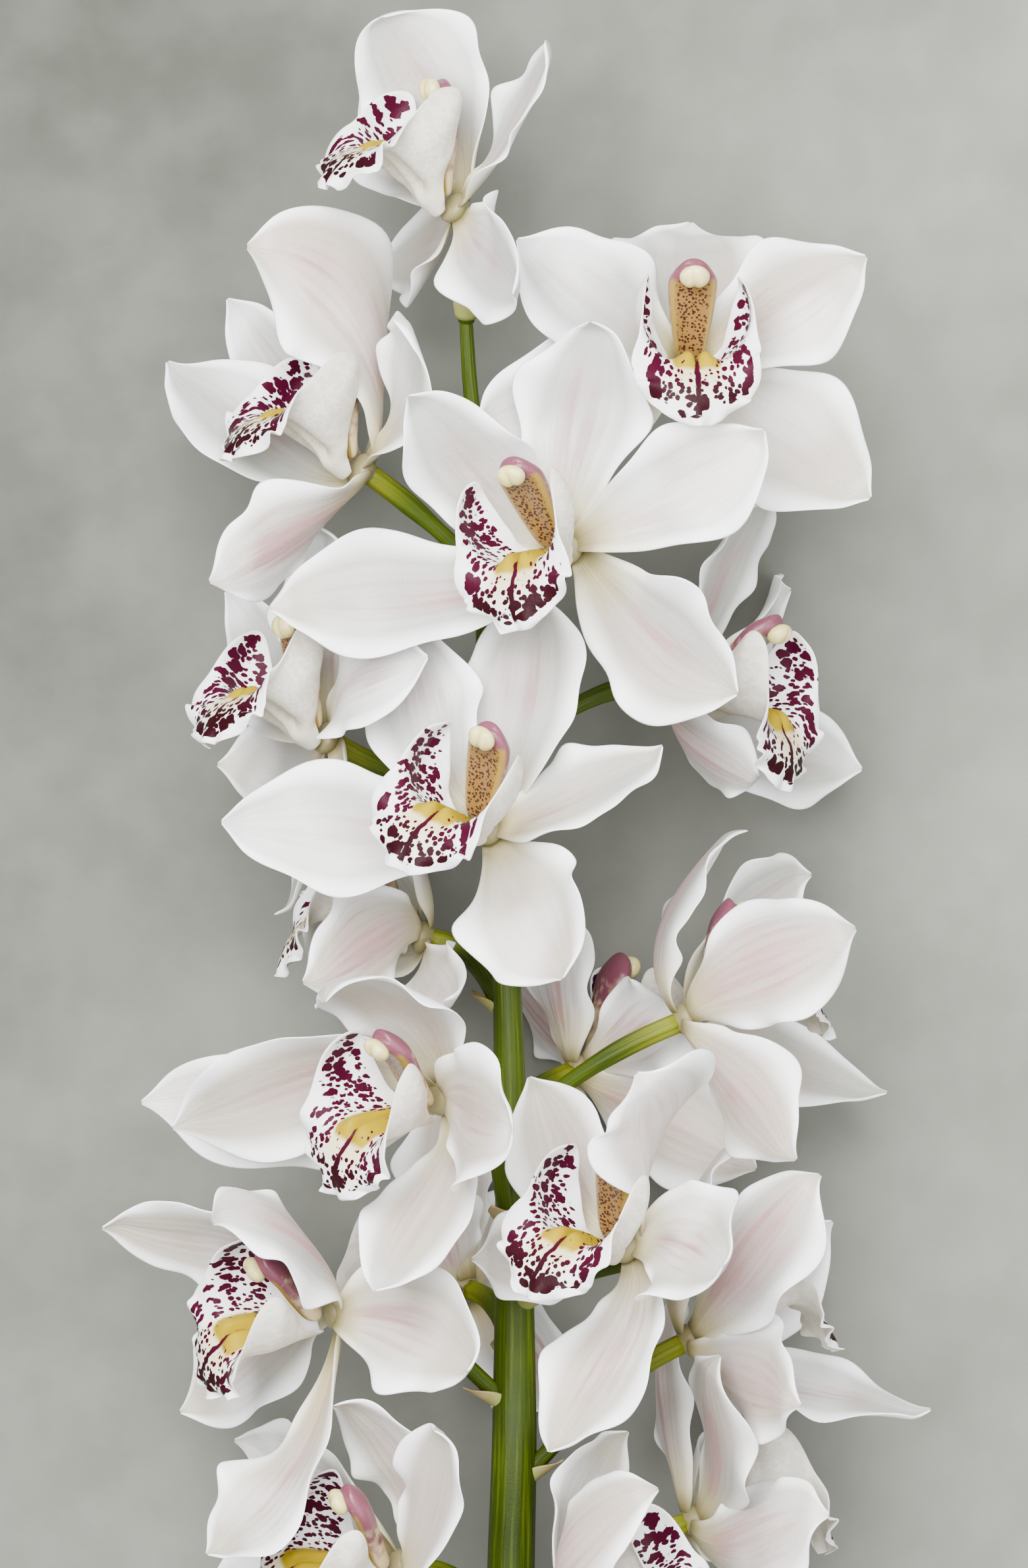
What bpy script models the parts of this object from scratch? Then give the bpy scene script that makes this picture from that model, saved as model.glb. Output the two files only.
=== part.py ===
"""A cut cymbidium orchid stem with eighteen white blooms, lying on a table.

The stalk runs along +Y to its tip, X is across it and +Z is up. Lengths below are in millimetres in the
stalk's own frame: y = 0 is where the lowest bloom opens, z = 0 is the height of the stalk's axis there.
Each bloom is a ring of five tepals on a small hub, a lip and a column. A tepal is a blade round a midrib,
which leaves the hub in the tepal's own direction and ends at the tip where that tepal is seen to end.
Blades that would cross are bent clear of each other before any mesh is made.
"""

import bisect
import math

import bmesh
import bpy
import numpy as np

MM = 0.001

# The table, and the middle of the footprint, in the stalk's frame
TABLE_Z = -57.0
MIDDLE = (0.5, 77.0)

# Stalk: centre line points (x, y, z) and radius, from the cut end to the tip
STALK = (
    ((-6.0, -200.0, -51.8), 5.6),
    ((-5.5, -182.0, -51.8), 5.6),
    ((-4.0, -130.0, -38.0), 5.6),
    ((-2.0, -62.0, -16.0), 5.6),
    ((-0.7, 0.0, -2.0), 5.5),
    ((0.1, 34.0, 0.0), 5.1),
    ((0.1, 64.0, 0.0), 4.5),
    ((-0.8, 102.0, 0.0), 3.8),
    ((-1.6, 132.0, 0.0), 3.3),
    ((-3.5, 162.0, 0.0), 2.9),
    ((-6.1, 193.0, 0.0), 2.5),
    ((-6.8, 230.0, 0.0), 2.1),
    ((-8.3, 252.0, 0.0), 1.9),
    ((-10.3, 273.0, 0.0), 1.7),
    ((-11.3, 292.0, 1.0), 1.4),
)
STALK_SIDES = 10

# Pedicels, with the ovary as their thicker end
PEDICEL_R = 1.9
OVARY_R = 2.5
PEDICEL_SIDES = 5
PEDICEL_RINGS = 4

# Hub that the tepals grow from
HUB_R = 5.0
HUB_HALF_DEPTH = 3.0
HUB_CENTRE = 1.5
HUB_SIDES = 6
HUB_RINGS = 4
ROOT_R = 2.0
GAP = 0.45

# Tepals
TEPAL_THICKNESS = 0.9
TEPAL_ROWS = 4
TEPAL_COLUMNS = 3
HANDLE = 0.36
BASE_SHARE = 0.18
WIDEST_AT = 0.58
TIP_SHARE = 0.07
FRAMES = 24
# Angle round the bloom's axis from the dorsal side, how far the base leans forward, and its depth in the hub
START = {
    "dorsal": (0.0, 12.0, 0.4),
    "petal_r": (62.0, 22.0, 2.6),
    "petal_l": (-62.0, 22.0, 2.6),
    "sepal_r": (126.0, 8.0, 0.4),
    "sepal_l": (-126.0, 8.0, 0.4),
}
WAVES = 1.25
WAVE_HEIGHT = 1.6

# Lip: the midline's handles (height, forward), and across it the half width and its turn, base to tip
LIP_MIDLINE = ((-4.4, 4.8), (-5.2, 20.0), (3.0, 34.0), (-17.0, 32.0))
LIP_AT = (0.0, 0.15, 0.3, 0.42, 0.5, 0.58, 0.7, 0.85, 0.95, 1.0)
LIP_HALF_WIDTH = (3.0, 9.0, 21.0, 30.0, 26.0, 16.0, 14.5, 12.5, 7.5, 3.0)
LIP_TURN = (75.0, 90.0, 118.0, 131.0, 116.0, 62.0, 8.0, -22.0, -30.0, -30.0)
LIP_THICKNESS = 0.9
LIP_ROWS = (0.0, 0.16, 0.32, 0.43, 0.56, 0.7, 0.86, 1.0)
LIP_COLUMNS = 4

# Column: (height, forward, half width, half thickness) along its midline
COLUMN = (
    (0.4, 6.0, 3.4, 2.4),
    (3.0, 9.0, 3.9, 2.7),
    (9.5, 13.5, 4.5, 2.9),
    (17.0, 18.5, 5.0, 3.0),
    (20.5, 22.5, 3.6, 2.4),
)
COLUMN_SIDES = 8

# Rule that keeps blades apart
CLEARANCE = 2.3
NEAR = 5.0
SIDE_RANGE = 16.0
MOST_PUSH = 1.5
ROUNDS = 40
SAMPLE_ROWS = 12
SAMPLE_COLUMNS = 7
FIRST_SAMPLE = 0.2
SAME_FROM = 0.2
FLAT_WITHIN = math.radians(1.0)


# Blooms, from the tip of the stalk down. at is where the bloom opens, face is the way it looks as
# (yaw, pitch, roll) in degrees: yaw 0 looks up from the table and -90 looks to -X, pitch leans it to the
# stalk's tip, and roll turns it clockwise. Each tepal is its tip (x, y, z), its width, how far it turns
# about its midrib, and its curl: forward if positive and back if negative.
BLOOMS = {
    "t": dict(
        at=(-12, 308, 8), face=(-58, 36, 0), foot=284,
        dorsal=((-31, 353, 14), 35, -30, 0.3), petal_r=((7, 345, 34), 28, 0, -0.2),
        petal_l=((-34, 338, -26), 27, 0, -0.2), sepal_r=((2, 288, 48), 30, -40, -0.2),
        sepal_l=((-42, 296, -38), 30, 0, -0.2),
    ),
    "e": dict(
        at=(39, 273, 20), face=(4, 4, 0), foot=248,
        dorsal=((40, 304, -4), 36, 0, -0.9), petal_r=((79, 297, 26), 30, 0, -0.3),
        petal_l=((0, 301, 26), 30, 0, -0.3), sepal_r=((80, 243, 22), 33, 0, -0.2),
        sepal_l=((-8, 254, 40), 32, 0, -0.2),
    ),
    "c": dict(
        at=(-33, 249, 5), face=(-62, 32, 0), foot=226,
        dorsal=((-62, 299, 21), 40, 90, 1.0), petal_r=((-26, 284, 40), 29, -30, 0.2),
        petal_l=((-65, 291, -32), 26, 0, 0.0), sepal_r=((-66, 224, 34), 27, -55, 0.0),
        sepal_l=((-79, 272, -20), 33, 0, 0.0),
    ),
    "d": dict(
        at=(13, 232, 28), face=(-28, -5, -8), foot=210,
        dorsal=((18, 283, 44), 33, 0, 0.3), petal_r=((58, 256, 52), 28, 0, -0.2),
        petal_l=((-24, 266, 46), 28, 0, -0.2), sepal_r=((51, 200, 44), 35, 0, -0.3),
        sepal_l=((-50, 217, 30), 30, 0, 0.0),
    ),
    "l": dict(
        at=(37, 200, 0), face=(62, -12, 0), foot=184,
        dorsal=((58, 244, 10), 30, 0, 0.3), petal_r=((62, 224, -60), 26, 0, -0.2),
        petal_l=((30, 222, -30), 26, 0, -0.2), sepal_r=((78, 182, -36), 28, 0, 0.0),
        sepal_l=((61, 173, 24), 24, 15, 0.1),
    ),
    "b": dict(
        at=(-41, 188, 6), face=(-54, 27, -6), foot=170,
        dorsal=((-45, 236, 6), 31, 0, 0.4), petal_r=((-24, 206, 42), 30, 0, -0.2),
        petal_l=((-65, 223, -30), 26, 0, -0.1), sepal_r=((-52, 148, 6), 29, -40, 0.0),
        sepal_l=((-68, 182, -40), 30, 0, 0.0),
    ),
    "a": dict(
        at=(-5, 168, 33), face=(-26, 12, 23), foot=138,
        dorsal=((8, 221, 22), 34, 0, -0.2), petal_r=((34, 185, 44), 27, 35, -0.3),
        petal_l=((-22, 214, 18), 28, 0, -0.1), sepal_r=((12, 135, 56), 35, -10, -0.3),
        sepal_l=((-66, 169, 26), 32, 0, 0.0),
    ),
    "k": dict(
        at=(-19, 143, -14), face=(-84, 14, 0), foot=126,
        dorsal=((-44, 184, -22), 28, 0, 0.3), petal_r=((-46, 133, 14), 27, 0, 0.0),
        petal_l=((-54, 168, -60), 26, 0, 0.0), sepal_r=((-14, 128, 24), 22, 30, 0.0),
        sepal_l=((-66, 152, -34), 28, 0, 0.0),
    ),
    "n": dict(
        at=(13, 112, -26), face=(125, 18, 0), foot=102,
        dorsal=((10, 158, -30), 29, 0, 0.2), petal_r=((-4, 134, -54), 26, 0, 0.0),
        petal_l=((42, 134, -2), 27, 0, 0.0), sepal_r=((14, 72, -54), 28, 0, 0.0),
        sepal_l=((55, 90, -16), 29, 40, 0.0),
    ),
    "r1": dict(
        at=(37, 124, 4), face=(100, 22, 0), foot=100,
        dorsal=((52, 170, 0), 27, 0, 0.3), petal_r=((64, 156, -36), 27, 0, 0.0),
        petal_l=((76, 146, 30), 32, 0, 0.1), sepal_r=((90, 106, -26), 28, 0, 0.0),
        sepal_l=((62, 94, 28), 29, 40, -0.2),
    ),
    "f": dict(
        at=(-15, 108, 28), face=(-50, -12, 22), foot=76,
        dorsal=((-44, 132, 54), 42, -15, 1.7), petal_r=((2, 102, 72), 34, 20, -0.3),
        petal_l=((-77, 102, 12), 34, 0, 0.0), sepal_r=((-30, 64, 50), 29, 38, 0.0),
        sepal_l=((-84, 106, -12), 30, 0, 0.0),
    ),
    "g": dict(
        at=(26, 74, 30), face=(-32, 10, 20), foot=59,
        dorsal=((22, 114, 64), 36, 110, 0.4), petal_r=((48, 70, 66), 33, 20, -0.3),
        petal_l=((5, 112, 20), 27, 0, 0.0), sepal_r=((9, 28, 50), 29, 10, 0.0),
        sepal_l=((-8, 70, 12), 25, 0, -0.5),
    ),
    "o": dict(
        at=(-10, 62, -24), face=(-140, 10, 0), foot=46,
        dorsal=((-16, 106, -34), 29, 0, 0.2), petal_r=((-24, 84, -16), 27, 0, 0.0),
        petal_l=((14, 84, -48), 26, 0, 0.0), sepal_r=((-26, 40, -12), 27, 0, 0.0),
        sepal_l=((10, 34, -52), 28, 0, 0.0),
    ),
    "h": dict(
        at=(-39, 59, 12), face=(-70, -8, 40), foot=36,
        dorsal=((-68, 82, 42), 38, 0, 1.6), petal_r=((-13, 41, 48), 33, 0, -0.2),
        petal_l=((-93, 79, 0), 27, -10, 0.0), sepal_r=((-67, 5, 30), 31, 45, 0.0),
        sepal_l=((-75, 34, -30), 29, 0, 0.0),
    ),
    "r2": dict(
        at=(38, 51, 4), face=(102, 25, 0), foot=18,
        dorsal=((50, 98, -6), 29, 0, 0.3), petal_r=((72, 78, -36), 27, 0, 0.0),
        petal_l=((68, 91, 26), 30, 0, 0.1), sepal_r=((94, 33, -12), 27, 0, 0.0),
        sepal_l=((61, 38, 34), 30, 40, -0.2),
    ),
    "r3": dict(
        at=(39, 9, -14), face=(108, 16, 0), foot=-12,
        dorsal=((42, 62, -28), 28, 0, 0.3), petal_r=((68, 42, -46), 26, 0, 0.0),
        petal_l=((44, 49, 22), 30, 0, 0.1), sepal_r=((86, 10, -34), 28, 0, 0.0),
        sepal_l=((69, 14, 24), 29, 40, 0.0),
    ),
    "i": dict(
        at=(-24, 1, 12), face=(-66, 5, 38), foot=-14,
        dorsal=((-38, 42, 24), 31, -20, 0.4), petal_r=((-14, 36, 48), 27, -30, 0.2),
        petal_l=((-62, 28, -32), 26, 0, 0.0), sepal_r=((-52, -42, 30), 29, 42, 0.0),
        sepal_l=((-74, -12, -24), 29, 0, 0.0),
    ),
    "r4": dict(
        at=(12, -10, 20), face=(62, 24, 0), foot=-30,
        dorsal=((24, 32, 4), 29, 0, 0.3), petal_r=((50, -20, -4), 27, 0, 0.0),
        petal_l=((34, 22, 52), 30, 0, 0.1), sepal_r=((48, -50, -6), 28, 0, 0.0),
        sepal_l=((34, -50, 54), 28, 0, 0.0),
    ),
}


def unit(v):
    return v / np.linalg.norm(v)


def square_to(v, axis):
    """The part of v at right angles to a unit axis, made a unit."""
    return unit(v - np.dot(v, axis) * axis)


def bezier(handles, t):
    t = np.asarray(t, float)[:, None]
    p0, p1, p2, p3 = np.asarray(handles, float)
    return (1 - t) ** 3 * p0 + 3 * (1 - t) ** 2 * t * p1 + 3 * (1 - t) * t**2 * p2 + t**3 * p3


class Bloom:
    """Where a bloom opens and its own axes: right, up (dorsal) and forward."""

    def __init__(self, name, spec):
        yaw, pitch, roll = map(math.radians, spec["face"])
        self.name = name
        self.at = np.array(spec["at"], float)
        self.forward = np.array(
            (math.sin(yaw) * math.cos(pitch), math.sin(pitch), math.cos(yaw) * math.cos(pitch))
        )
        up = square_to(np.array((0.0, 1.0, 0.0)), self.forward)
        right = np.cross(up, self.forward)
        self.up = math.cos(roll) * up + math.sin(roll) * right
        self.right = np.cross(self.up, self.forward)
        self.foot = spec["foot"]
        self.tepals = [Tepal(self, kind, *spec[kind]) for kind in START]

    def place(self, local):
        """Points given as (right, up, forward) of this bloom, in the stalk's frame."""
        local = np.asarray(local, float)
        return self.at + local[..., :1] * self.right + local[..., 1:2] * self.up + local[..., 2:] * self.forward


class Tepal:
    """One sepal or petal: a blade round a midrib with four handles."""

    def __init__(self, bloom, kind, tip, width, turn, curl):
        angle, lean = map(math.radians, START[kind][:2])
        self.kind = kind
        self.width = width
        self.turn = math.radians(turn)
        self.phase = 0.7 * sum(map(ord, bloom.name + kind))
        out = math.sin(angle) * bloom.right + math.cos(angle) * bloom.up
        start = math.cos(lean) * out + math.sin(lean) * bloom.forward
        base = bloom.at + START[kind][2] * bloom.forward + ROOT_R * out
        tip = np.array(tip, float)
        reach = np.linalg.norm(tip - base)
        face = square_to(bloom.forward, unit(tip - base))
        end = unit(unit(tip - base) + curl * face)
        self.first_face = square_to(bloom.forward, start)
        self.handles = np.array(
            (base, base + HANDLE * reach * start, tip - HANDLE * reach * end, tip)
        )

    def frames(self):
        """Places, directions and face normals down the midrib, the normals carried along without twist."""
        t = np.linspace(0, 1, FRAMES + 1)
        places = bezier(self.handles, t)
        ways = np.gradient(places, axis=0)
        ways /= np.linalg.norm(ways, axis=1)[:, None]
        faces = [self.first_face]
        for way in ways[1:]:
            faces.append(square_to(faces[-1], way))
        faces = np.array(faces)
        sides = np.cross(ways, faces)
        turn = (self.turn * (1 - (1 - t) ** 2))[:, None]
        return t, places, np.cos(turn) * sides + np.sin(turn) * faces, np.cos(turn) * faces - np.sin(turn) * sides

    def points(self, across, along):
        """Points of the blade's middle surface, across from -1 to 1 and along from 0 to 1."""
        t, places, sides, faces = self.frames()
        place, side, face = (
            np.column_stack([np.interp(along, t, column) for column in part.T])
            for part in (places, sides, faces)
        )
        half = 0.5 * self.width * blade_width(along)
        bend = 0.55 - 0.25 * along
        sideways = half * np.sin(bend * across) / bend
        forward = half * (1 - np.cos(bend * across)) / bend
        wave = np.sin(2 * math.pi * WAVES * along + self.phase + 1.3 * np.sign(across))
        forward = forward + WAVE_HEIGHT * wave * np.abs(across) ** 3 * np.sin(math.pi * along) ** 0.7
        return place + sideways[:, None] * side + forward[:, None] * face


def blade_width(along):
    """Share of the full width: a narrow base, widest past the middle, and a short point."""
    grow = np.clip(along / WIDEST_AT, 0, 1)
    grow = BASE_SHARE + (1 - BASE_SHARE) * np.sin(0.5 * math.pi * grow) ** 1.3
    past = np.clip((along - WIDEST_AT) / (1 - WIDEST_AT), 0, 1)
    return grow * (TIP_SHARE + (1 - TIP_SHARE) * (1 - past**1.8) ** 0.85)


def lip_points(bloom, across, along):
    """Points of the lip: a scoop whose side lobes stand up round the column, and a drooping midlobe."""
    flat = np.array(LIP_MIDLINE, float)
    middle = bezier(flat, along)
    way = bezier(flat, np.minimum(along + 0.01, 1)) - bezier(flat, np.maximum(along - 0.01, 0))
    way /= np.linalg.norm(way, axis=1)[:, None]
    half = np.interp(along, LIP_AT, LIP_HALF_WIDTH)
    turn = np.radians(np.interp(along, LIP_AT, LIP_TURN))
    turn = np.where(np.abs(turn) < 0.02, 0.02, turn)
    sideways = half * np.sin(turn * across) / turn
    raised = half * (1 - np.cos(turn * across)) / turn
    up = middle[:, 0] + raised * way[:, 1]
    forward = middle[:, 1] - raised * way[:, 0]
    return bloom.place(np.column_stack((sideways, up, forward)))


def stalk_at(y):
    """Centre and radius of the stalk at this y."""
    ys = [p[1] for p, _ in STALK]
    i = min(max(bisect.bisect(ys, y) - 1, 0), len(ys) - 2)
    share = (y - ys[i]) / (ys[i + 1] - ys[i])
    (p, r), (q, s) = STALK[i], STALK[i + 1]
    return np.array(p) + share * (np.array(q) - np.array(p)), r + share * (s - r)


def pedicel_route(bloom):
    """Handles of the pedicel, from inside the stalk to just behind the hub."""
    foot, _ = stalk_at(bloom.foot)
    end = bloom.at + (HUB_CENTRE - HUB_HALF_DEPTH - GAP) * bloom.forward
    out = end - foot
    reach = np.linalg.norm(out)
    leave = unit(unit(out) + np.array((0.0, 0.5, 0.0)) + 0.4 * unit(out * (1, 0, 1)))
    return np.array((foot, foot + 0.4 * reach * leave, end - 0.35 * reach * bloom.forward, end))


class Sheet:
    """Sampled points and normals of one blade, lip, column or stalk, for keeping blades apart."""

    def __init__(self, owner, tepal, points, normals, along):
        self.owner = owner
        self.tepal = tepal
        self.points = points
        self.normals = normals
        self.along = along


def sampled(surface, owner, tepal):
    """A sheet with SAMPLE_ROWS x SAMPLE_COLUMNS points of a surface, normals by differences."""
    along = np.linspace(FIRST_SAMPLE if tepal else 0.1, 1, SAMPLE_ROWS)
    across = np.linspace(-1, 1, SAMPLE_COLUMNS)
    rows, columns = (a.reshape(-1) for a in np.meshgrid(along, across, indexing="ij"))
    grid = surface(columns, rows).reshape(SAMPLE_ROWS, SAMPLE_COLUMNS, 3)
    normals = np.cross(np.gradient(grid, axis=1), np.gradient(grid, axis=0)).reshape(-1, 3)
    normals /= np.maximum(np.linalg.norm(normals, axis=1), 1e-9)[:, None]
    return Sheet(owner, tepal, grid.reshape(-1, 3), normals, rows)


def tube_samples(route, radius, owner):
    """Points round a tube, with normals that point out."""
    t = np.linspace(0.1, 0.95, 9)
    centre = bezier(route, t)
    way = unit(route[3] - route[0])
    one = square_to(np.array((0.31, 0.2, 0.93)), way)
    two = np.cross(way, one)
    normals = [math.cos(a) * one + math.sin(a) * two for a in np.linspace(0, 2 * math.pi, 6, endpoint=False)]
    points = np.concatenate([centre + radius * n for n in normals])
    return Sheet(owner, None, points, np.repeat(normals, len(t), axis=0), np.zeros(len(points)))


def still_sheets(blooms):
    """What blades keep clear of: lips, columns, pedicels and the stalk."""
    sheets = []
    for bloom in blooms:
        sheets.append(sampled(lambda c, r, b=bloom: lip_points(b, c, r), bloom, None))
        (y0, z0), (y3, z3) = COLUMN[0][:2], COLUMN[-1][:2]
        line = bloom.place([(0, y0, z0), (0, y0 + 7, z0 + 2), (0, y3 - 4, z3 - 7), (0, y3, z3)])
        sheets.append(tube_samples(line, 4.0, bloom))
        sheets.append(tube_samples(pedicel_route(bloom), OVARY_R, bloom))
    for lower, upper in zip(STALK[3:-1], STALK[4:]):
        ends = np.array((lower[0], upper[0]))
        route = np.array((ends[0], ends[0] * 0.67 + ends[1] * 0.33, ends[0] * 0.33 + ends[1] * 0.67, ends[1]))
        sheets.append(tube_samples(route, lower[1], None))
    return sheets


def push(tepal, along, way, amount):
    """Moves a midrib's outer handles so that the blade shifts by amount along way at this place."""
    weights = np.array((3 * (1 - along) ** 2 * along, 3 * (1 - along) * along**2, along**3))
    weights[0] *= 0.5
    tepal.handles[1:] += amount * np.outer(weights / np.dot(weights, weights), way)


def bend_clear(blooms):
    """Bends blades that cross or nearly touch, each pair kept on the sides where most of it already lies."""
    still = still_sheets(blooms)
    tepals = [(bloom, tepal) for bloom in blooms for tepal in bloom.tepals]
    sides = {}
    for _ in range(ROUNDS):
        moving = [sampled(tepal.points, bloom, tepal) for bloom, tepal in tepals]
        moves = {}
        for i, one in enumerate(moving):
            low, high = one.points.min(axis=0) - CLEARANCE, one.points.max(axis=0) + CLEARANCE
            for j, other in enumerate(moving[i + 1 :] + still):
                if (other.points.max(axis=0) < low).any() or (other.points.min(axis=0) > high).any():
                    continue
                meeting(one, other, (i, j), sides, moves)
        for tepal in (tepal for _, tepal in tepals):
            for along, way, amount in moves.get(id(tepal), ()):
                push(tepal, along, way, amount)
        if not moves:
            return


def meeting(one, other, key, sides, moves):
    """Notes the moves that part two sheets, each by its worst point."""
    same = one.owner is other.owner
    away = one.points[:, None, :] - other.points[None, :, :]
    nearest = np.argmin((away**2).sum(axis=2), axis=1)
    away = away[np.arange(len(away)), nearest]
    normals = other.normals[nearest]
    height = (away * normals).sum(axis=1)
    beside = np.linalg.norm(away - height[:, None] * normals, axis=1)
    facing = beside < NEAR
    if same:
        facing &= (one.along > SAME_FROM) & (other.along[nearest] > (SAME_FROM if other.tepal else -1))
    if not facing.any():
        return
    if key not in sides:
        close = facing & (np.abs(height) < SIDE_RANGE)
        if not close.any():
            return
        total = np.tanh(height[close] / 4).sum()
        sides[key] = 1.0 if other.tepal is None and not is_sheet(other) else math.copysign(1.0, total)
    side = sides[key]
    short = np.where(facing, CLEARANCE - side * height, -1)
    short[np.abs(height) > SIDE_RANGE] = -1
    worst = int(np.argmax(short))
    if short[worst] <= 0:
        return
    way = side * normals[worst]
    amount = min(short[worst], MOST_PUSH)
    share = 0.5 if other.tepal else 1.0
    moves.setdefault(id(one.tepal), []).append((one.along[worst], way, 0.6 * share * amount))
    if other.tepal:
        there = other.along[nearest[worst]]
        moves.setdefault(id(other.tepal), []).append((there, -way, 0.6 * share * amount))


def is_sheet(sheet):
    """True for a lip, whose two sides are both open, and false for a tube."""
    return len(sheet.points) == SAMPLE_ROWS * SAMPLE_COLUMNS


def in_frame(points):
    """The stalk's millimetres as metres in the part's frame, with nothing below the table."""
    points = np.asarray(points, float).copy()
    points[:, :2] -= MIDDLE
    points[:, 2] = points[:, 2] - TABLE_Z
    return points * MM


def clear_scene():
    for obj in list(bpy.data.objects):
        bpy.data.objects.remove(obj)


def material(name, colour, roughness):
    made = bpy.data.materials.new(name)
    made.use_nodes = True
    shader = made.node_tree.nodes["Principled BSDF"]
    shader.inputs["Base Color"].default_value = (*colour, 1)
    shader.inputs["Roughness"].default_value = roughness
    shader.inputs["Metallic"].default_value = 0.0
    return made


def add_object(name, bm, collection, finish=None):
    mesh = bpy.data.meshes.new(name)
    bm.normal_update()
    bm.to_mesh(mesh)
    bm.free()
    obj = bpy.data.objects.new(name, mesh)
    collection.objects.link(obj)
    if finish:
        mesh.materials.append(finish)
    return obj


def sheet_mesh(surface, rows, columns, thickness):
    """A bmesh of a surface given by across and along, with its rows where rows says."""
    bm = bmesh.new()
    bmesh.ops.create_grid(bm, x_segments=columns, y_segments=len(rows) - 1, size=1)
    across = np.array([v.co.x for v in bm.verts])
    order = np.array([(v.co.y + 1) / 2 for v in bm.verts])
    along = np.interp(order, np.linspace(0, 1, len(rows)), rows)
    points = surface(across, along)
    points[:, 2] = np.maximum(points[:, 2], TABLE_Z + 0.45 * thickness)
    for v, point in zip(bm.verts, in_frame(points)):
        v.co = point
    bmesh.ops.triangulate(bm, faces=bm.faces[:])
    return bm


def solidify(obj, thickness):
    wall = obj.modifiers.new("wall", "SOLIDIFY")
    wall.thickness = thickness * MM
    wall.offset = 0.0
    wall.use_even_offset = False


def tube(centres, first, second, sides):
    """A closed tube: first and second are the half axes of its section at each centre, as vectors."""
    bm = bmesh.new()
    angles = np.linspace(0, 2 * math.pi, sides, endpoint=False)
    rings = []
    for centre, one, two in zip(centres, first, second):
        ring = [centre + math.cos(a) * one + math.sin(a) * two for a in angles]
        ring = np.array(ring)
        ring[:, 2] = np.maximum(ring[:, 2], TABLE_Z)
        rings.append([bm.verts.new(p) for p in in_frame(ring)])
    for low, high in zip(rings, rings[1:]):
        for k in range(sides):
            bm.faces.new((low[k], low[(k + 1) % sides], high[(k + 1) % sides], high[k]))
    bm.faces.new(rings[0][::-1])
    bm.faces.new(rings[-1])
    bmesh.ops.recalc_face_normals(bm, faces=bm.faces[:])
    return bm


def directions(line):
    """Unit directions at the points of a line that bends evenly."""
    steps = np.diff(line, axis=0)
    steps /= np.linalg.norm(steps, axis=1)[:, None]
    inner = [unit(before + after) for before, after in zip(steps, steps[1:])]
    first = 2 * np.dot(steps[0], inner[0]) * steps[0] - inner[0]
    last = 2 * np.dot(steps[-1], inner[-1]) * steps[-1] - inner[-1]
    return np.array([first, *inner, last])


def round_tube(centres, radii, sides, first_corner=(0.31, 0.2, 0.93)):
    """A tube of round sections square to its centre line, its first ring with a corner towards first_corner."""
    ways = directions(centres)
    one = [np.array(first_corner)]
    for way in ways:
        one.append(square_to(one[-1], way))
    one = np.array(one[1:])
    two = np.cross(ways, one)
    radii = np.asarray(radii, float)[:, None]
    return tube(centres, radii * one, radii * two, sides)


def fused(base, others, name, finish):
    """The union of an object and a collection's objects as one new object; the old ones are removed."""
    join = base.modifiers.new("join", "BOOLEAN")
    join.operation = "UNION"
    join.operand_type = "COLLECTION"
    join.collection = others
    join.solver = "EXACT"
    graph = bpy.context.evaluated_depsgraph_get()
    mesh = bpy.data.meshes.new_from_object(base.evaluated_get(graph))
    for old in [base, *others.objects]:
        bpy.data.objects.remove(old)
    bpy.data.collections.remove(others)
    keep_outer_shell(mesh)
    mesh.materials.clear()
    mesh.materials.append(finish)
    obj = bpy.data.objects.new(name, mesh)
    bpy.context.scene.collection.objects.link(obj)
    return obj


def keep_outer_shell(mesh):
    """Fills what the union sealed off and drops loose scraps: all shells go but the largest. The union's
    needless edges on flat faces go too."""
    bm = bmesh.new()
    bm.from_mesh(mesh)
    keep_largest(bm)
    bmesh.ops.dissolve_limit(bm, angle_limit=FLAT_WITHIN, verts=bm.verts[:], edges=bm.edges[:])
    bmesh.ops.triangulate(bm, faces=bm.faces[:])
    keep_largest(bm)
    bm.to_mesh(mesh)
    bm.free()


def keep_largest(bm):
    """Deletes all groups of faces but the largest. Faces are in one group where just two share an edge."""
    left = set(bm.faces)
    groups = []
    while left:
        group, front = set(), [left.pop()]
        while front:
            face = front.pop()
            group.add(face)
            near = {f for e in face.edges if len(e.link_faces) == 2 for f in e.link_faces} & left
            left -= near
            front.extend(near)
        groups.append(group)
    groups.sort(key=len)
    for group in groups[:-1]:
        bmesh.ops.delete(bm, geom=list(group), context="FACES")


def gathered(name):
    made = bpy.data.collections.new(name)
    bpy.context.scene.collection.children.link(made)
    return made


def make_stem(blooms, finish):
    """The stalk with its pedicels."""
    centres = np.array([p for p, _ in STALK])
    stalk = round_tube(centres, [r for _, r in STALK], STALK_SIDES, (1.0, 0.0, 0.0))
    base = add_object("stalk", stalk, bpy.context.scene.collection)
    parts = gathered("pedicels")
    t = np.linspace(0, 1, PEDICEL_RINGS + 1)
    for bloom in blooms:
        route = pedicel_route(bloom)
        radii = PEDICEL_R + (OVARY_R - PEDICEL_R) * np.clip(3 * t - 1.2, 0, 1)
        add_object("pedicel", round_tube(bezier(route, t), radii, PEDICEL_SIDES), parts)
    return fused(base, parts, "stem", finish)


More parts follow.
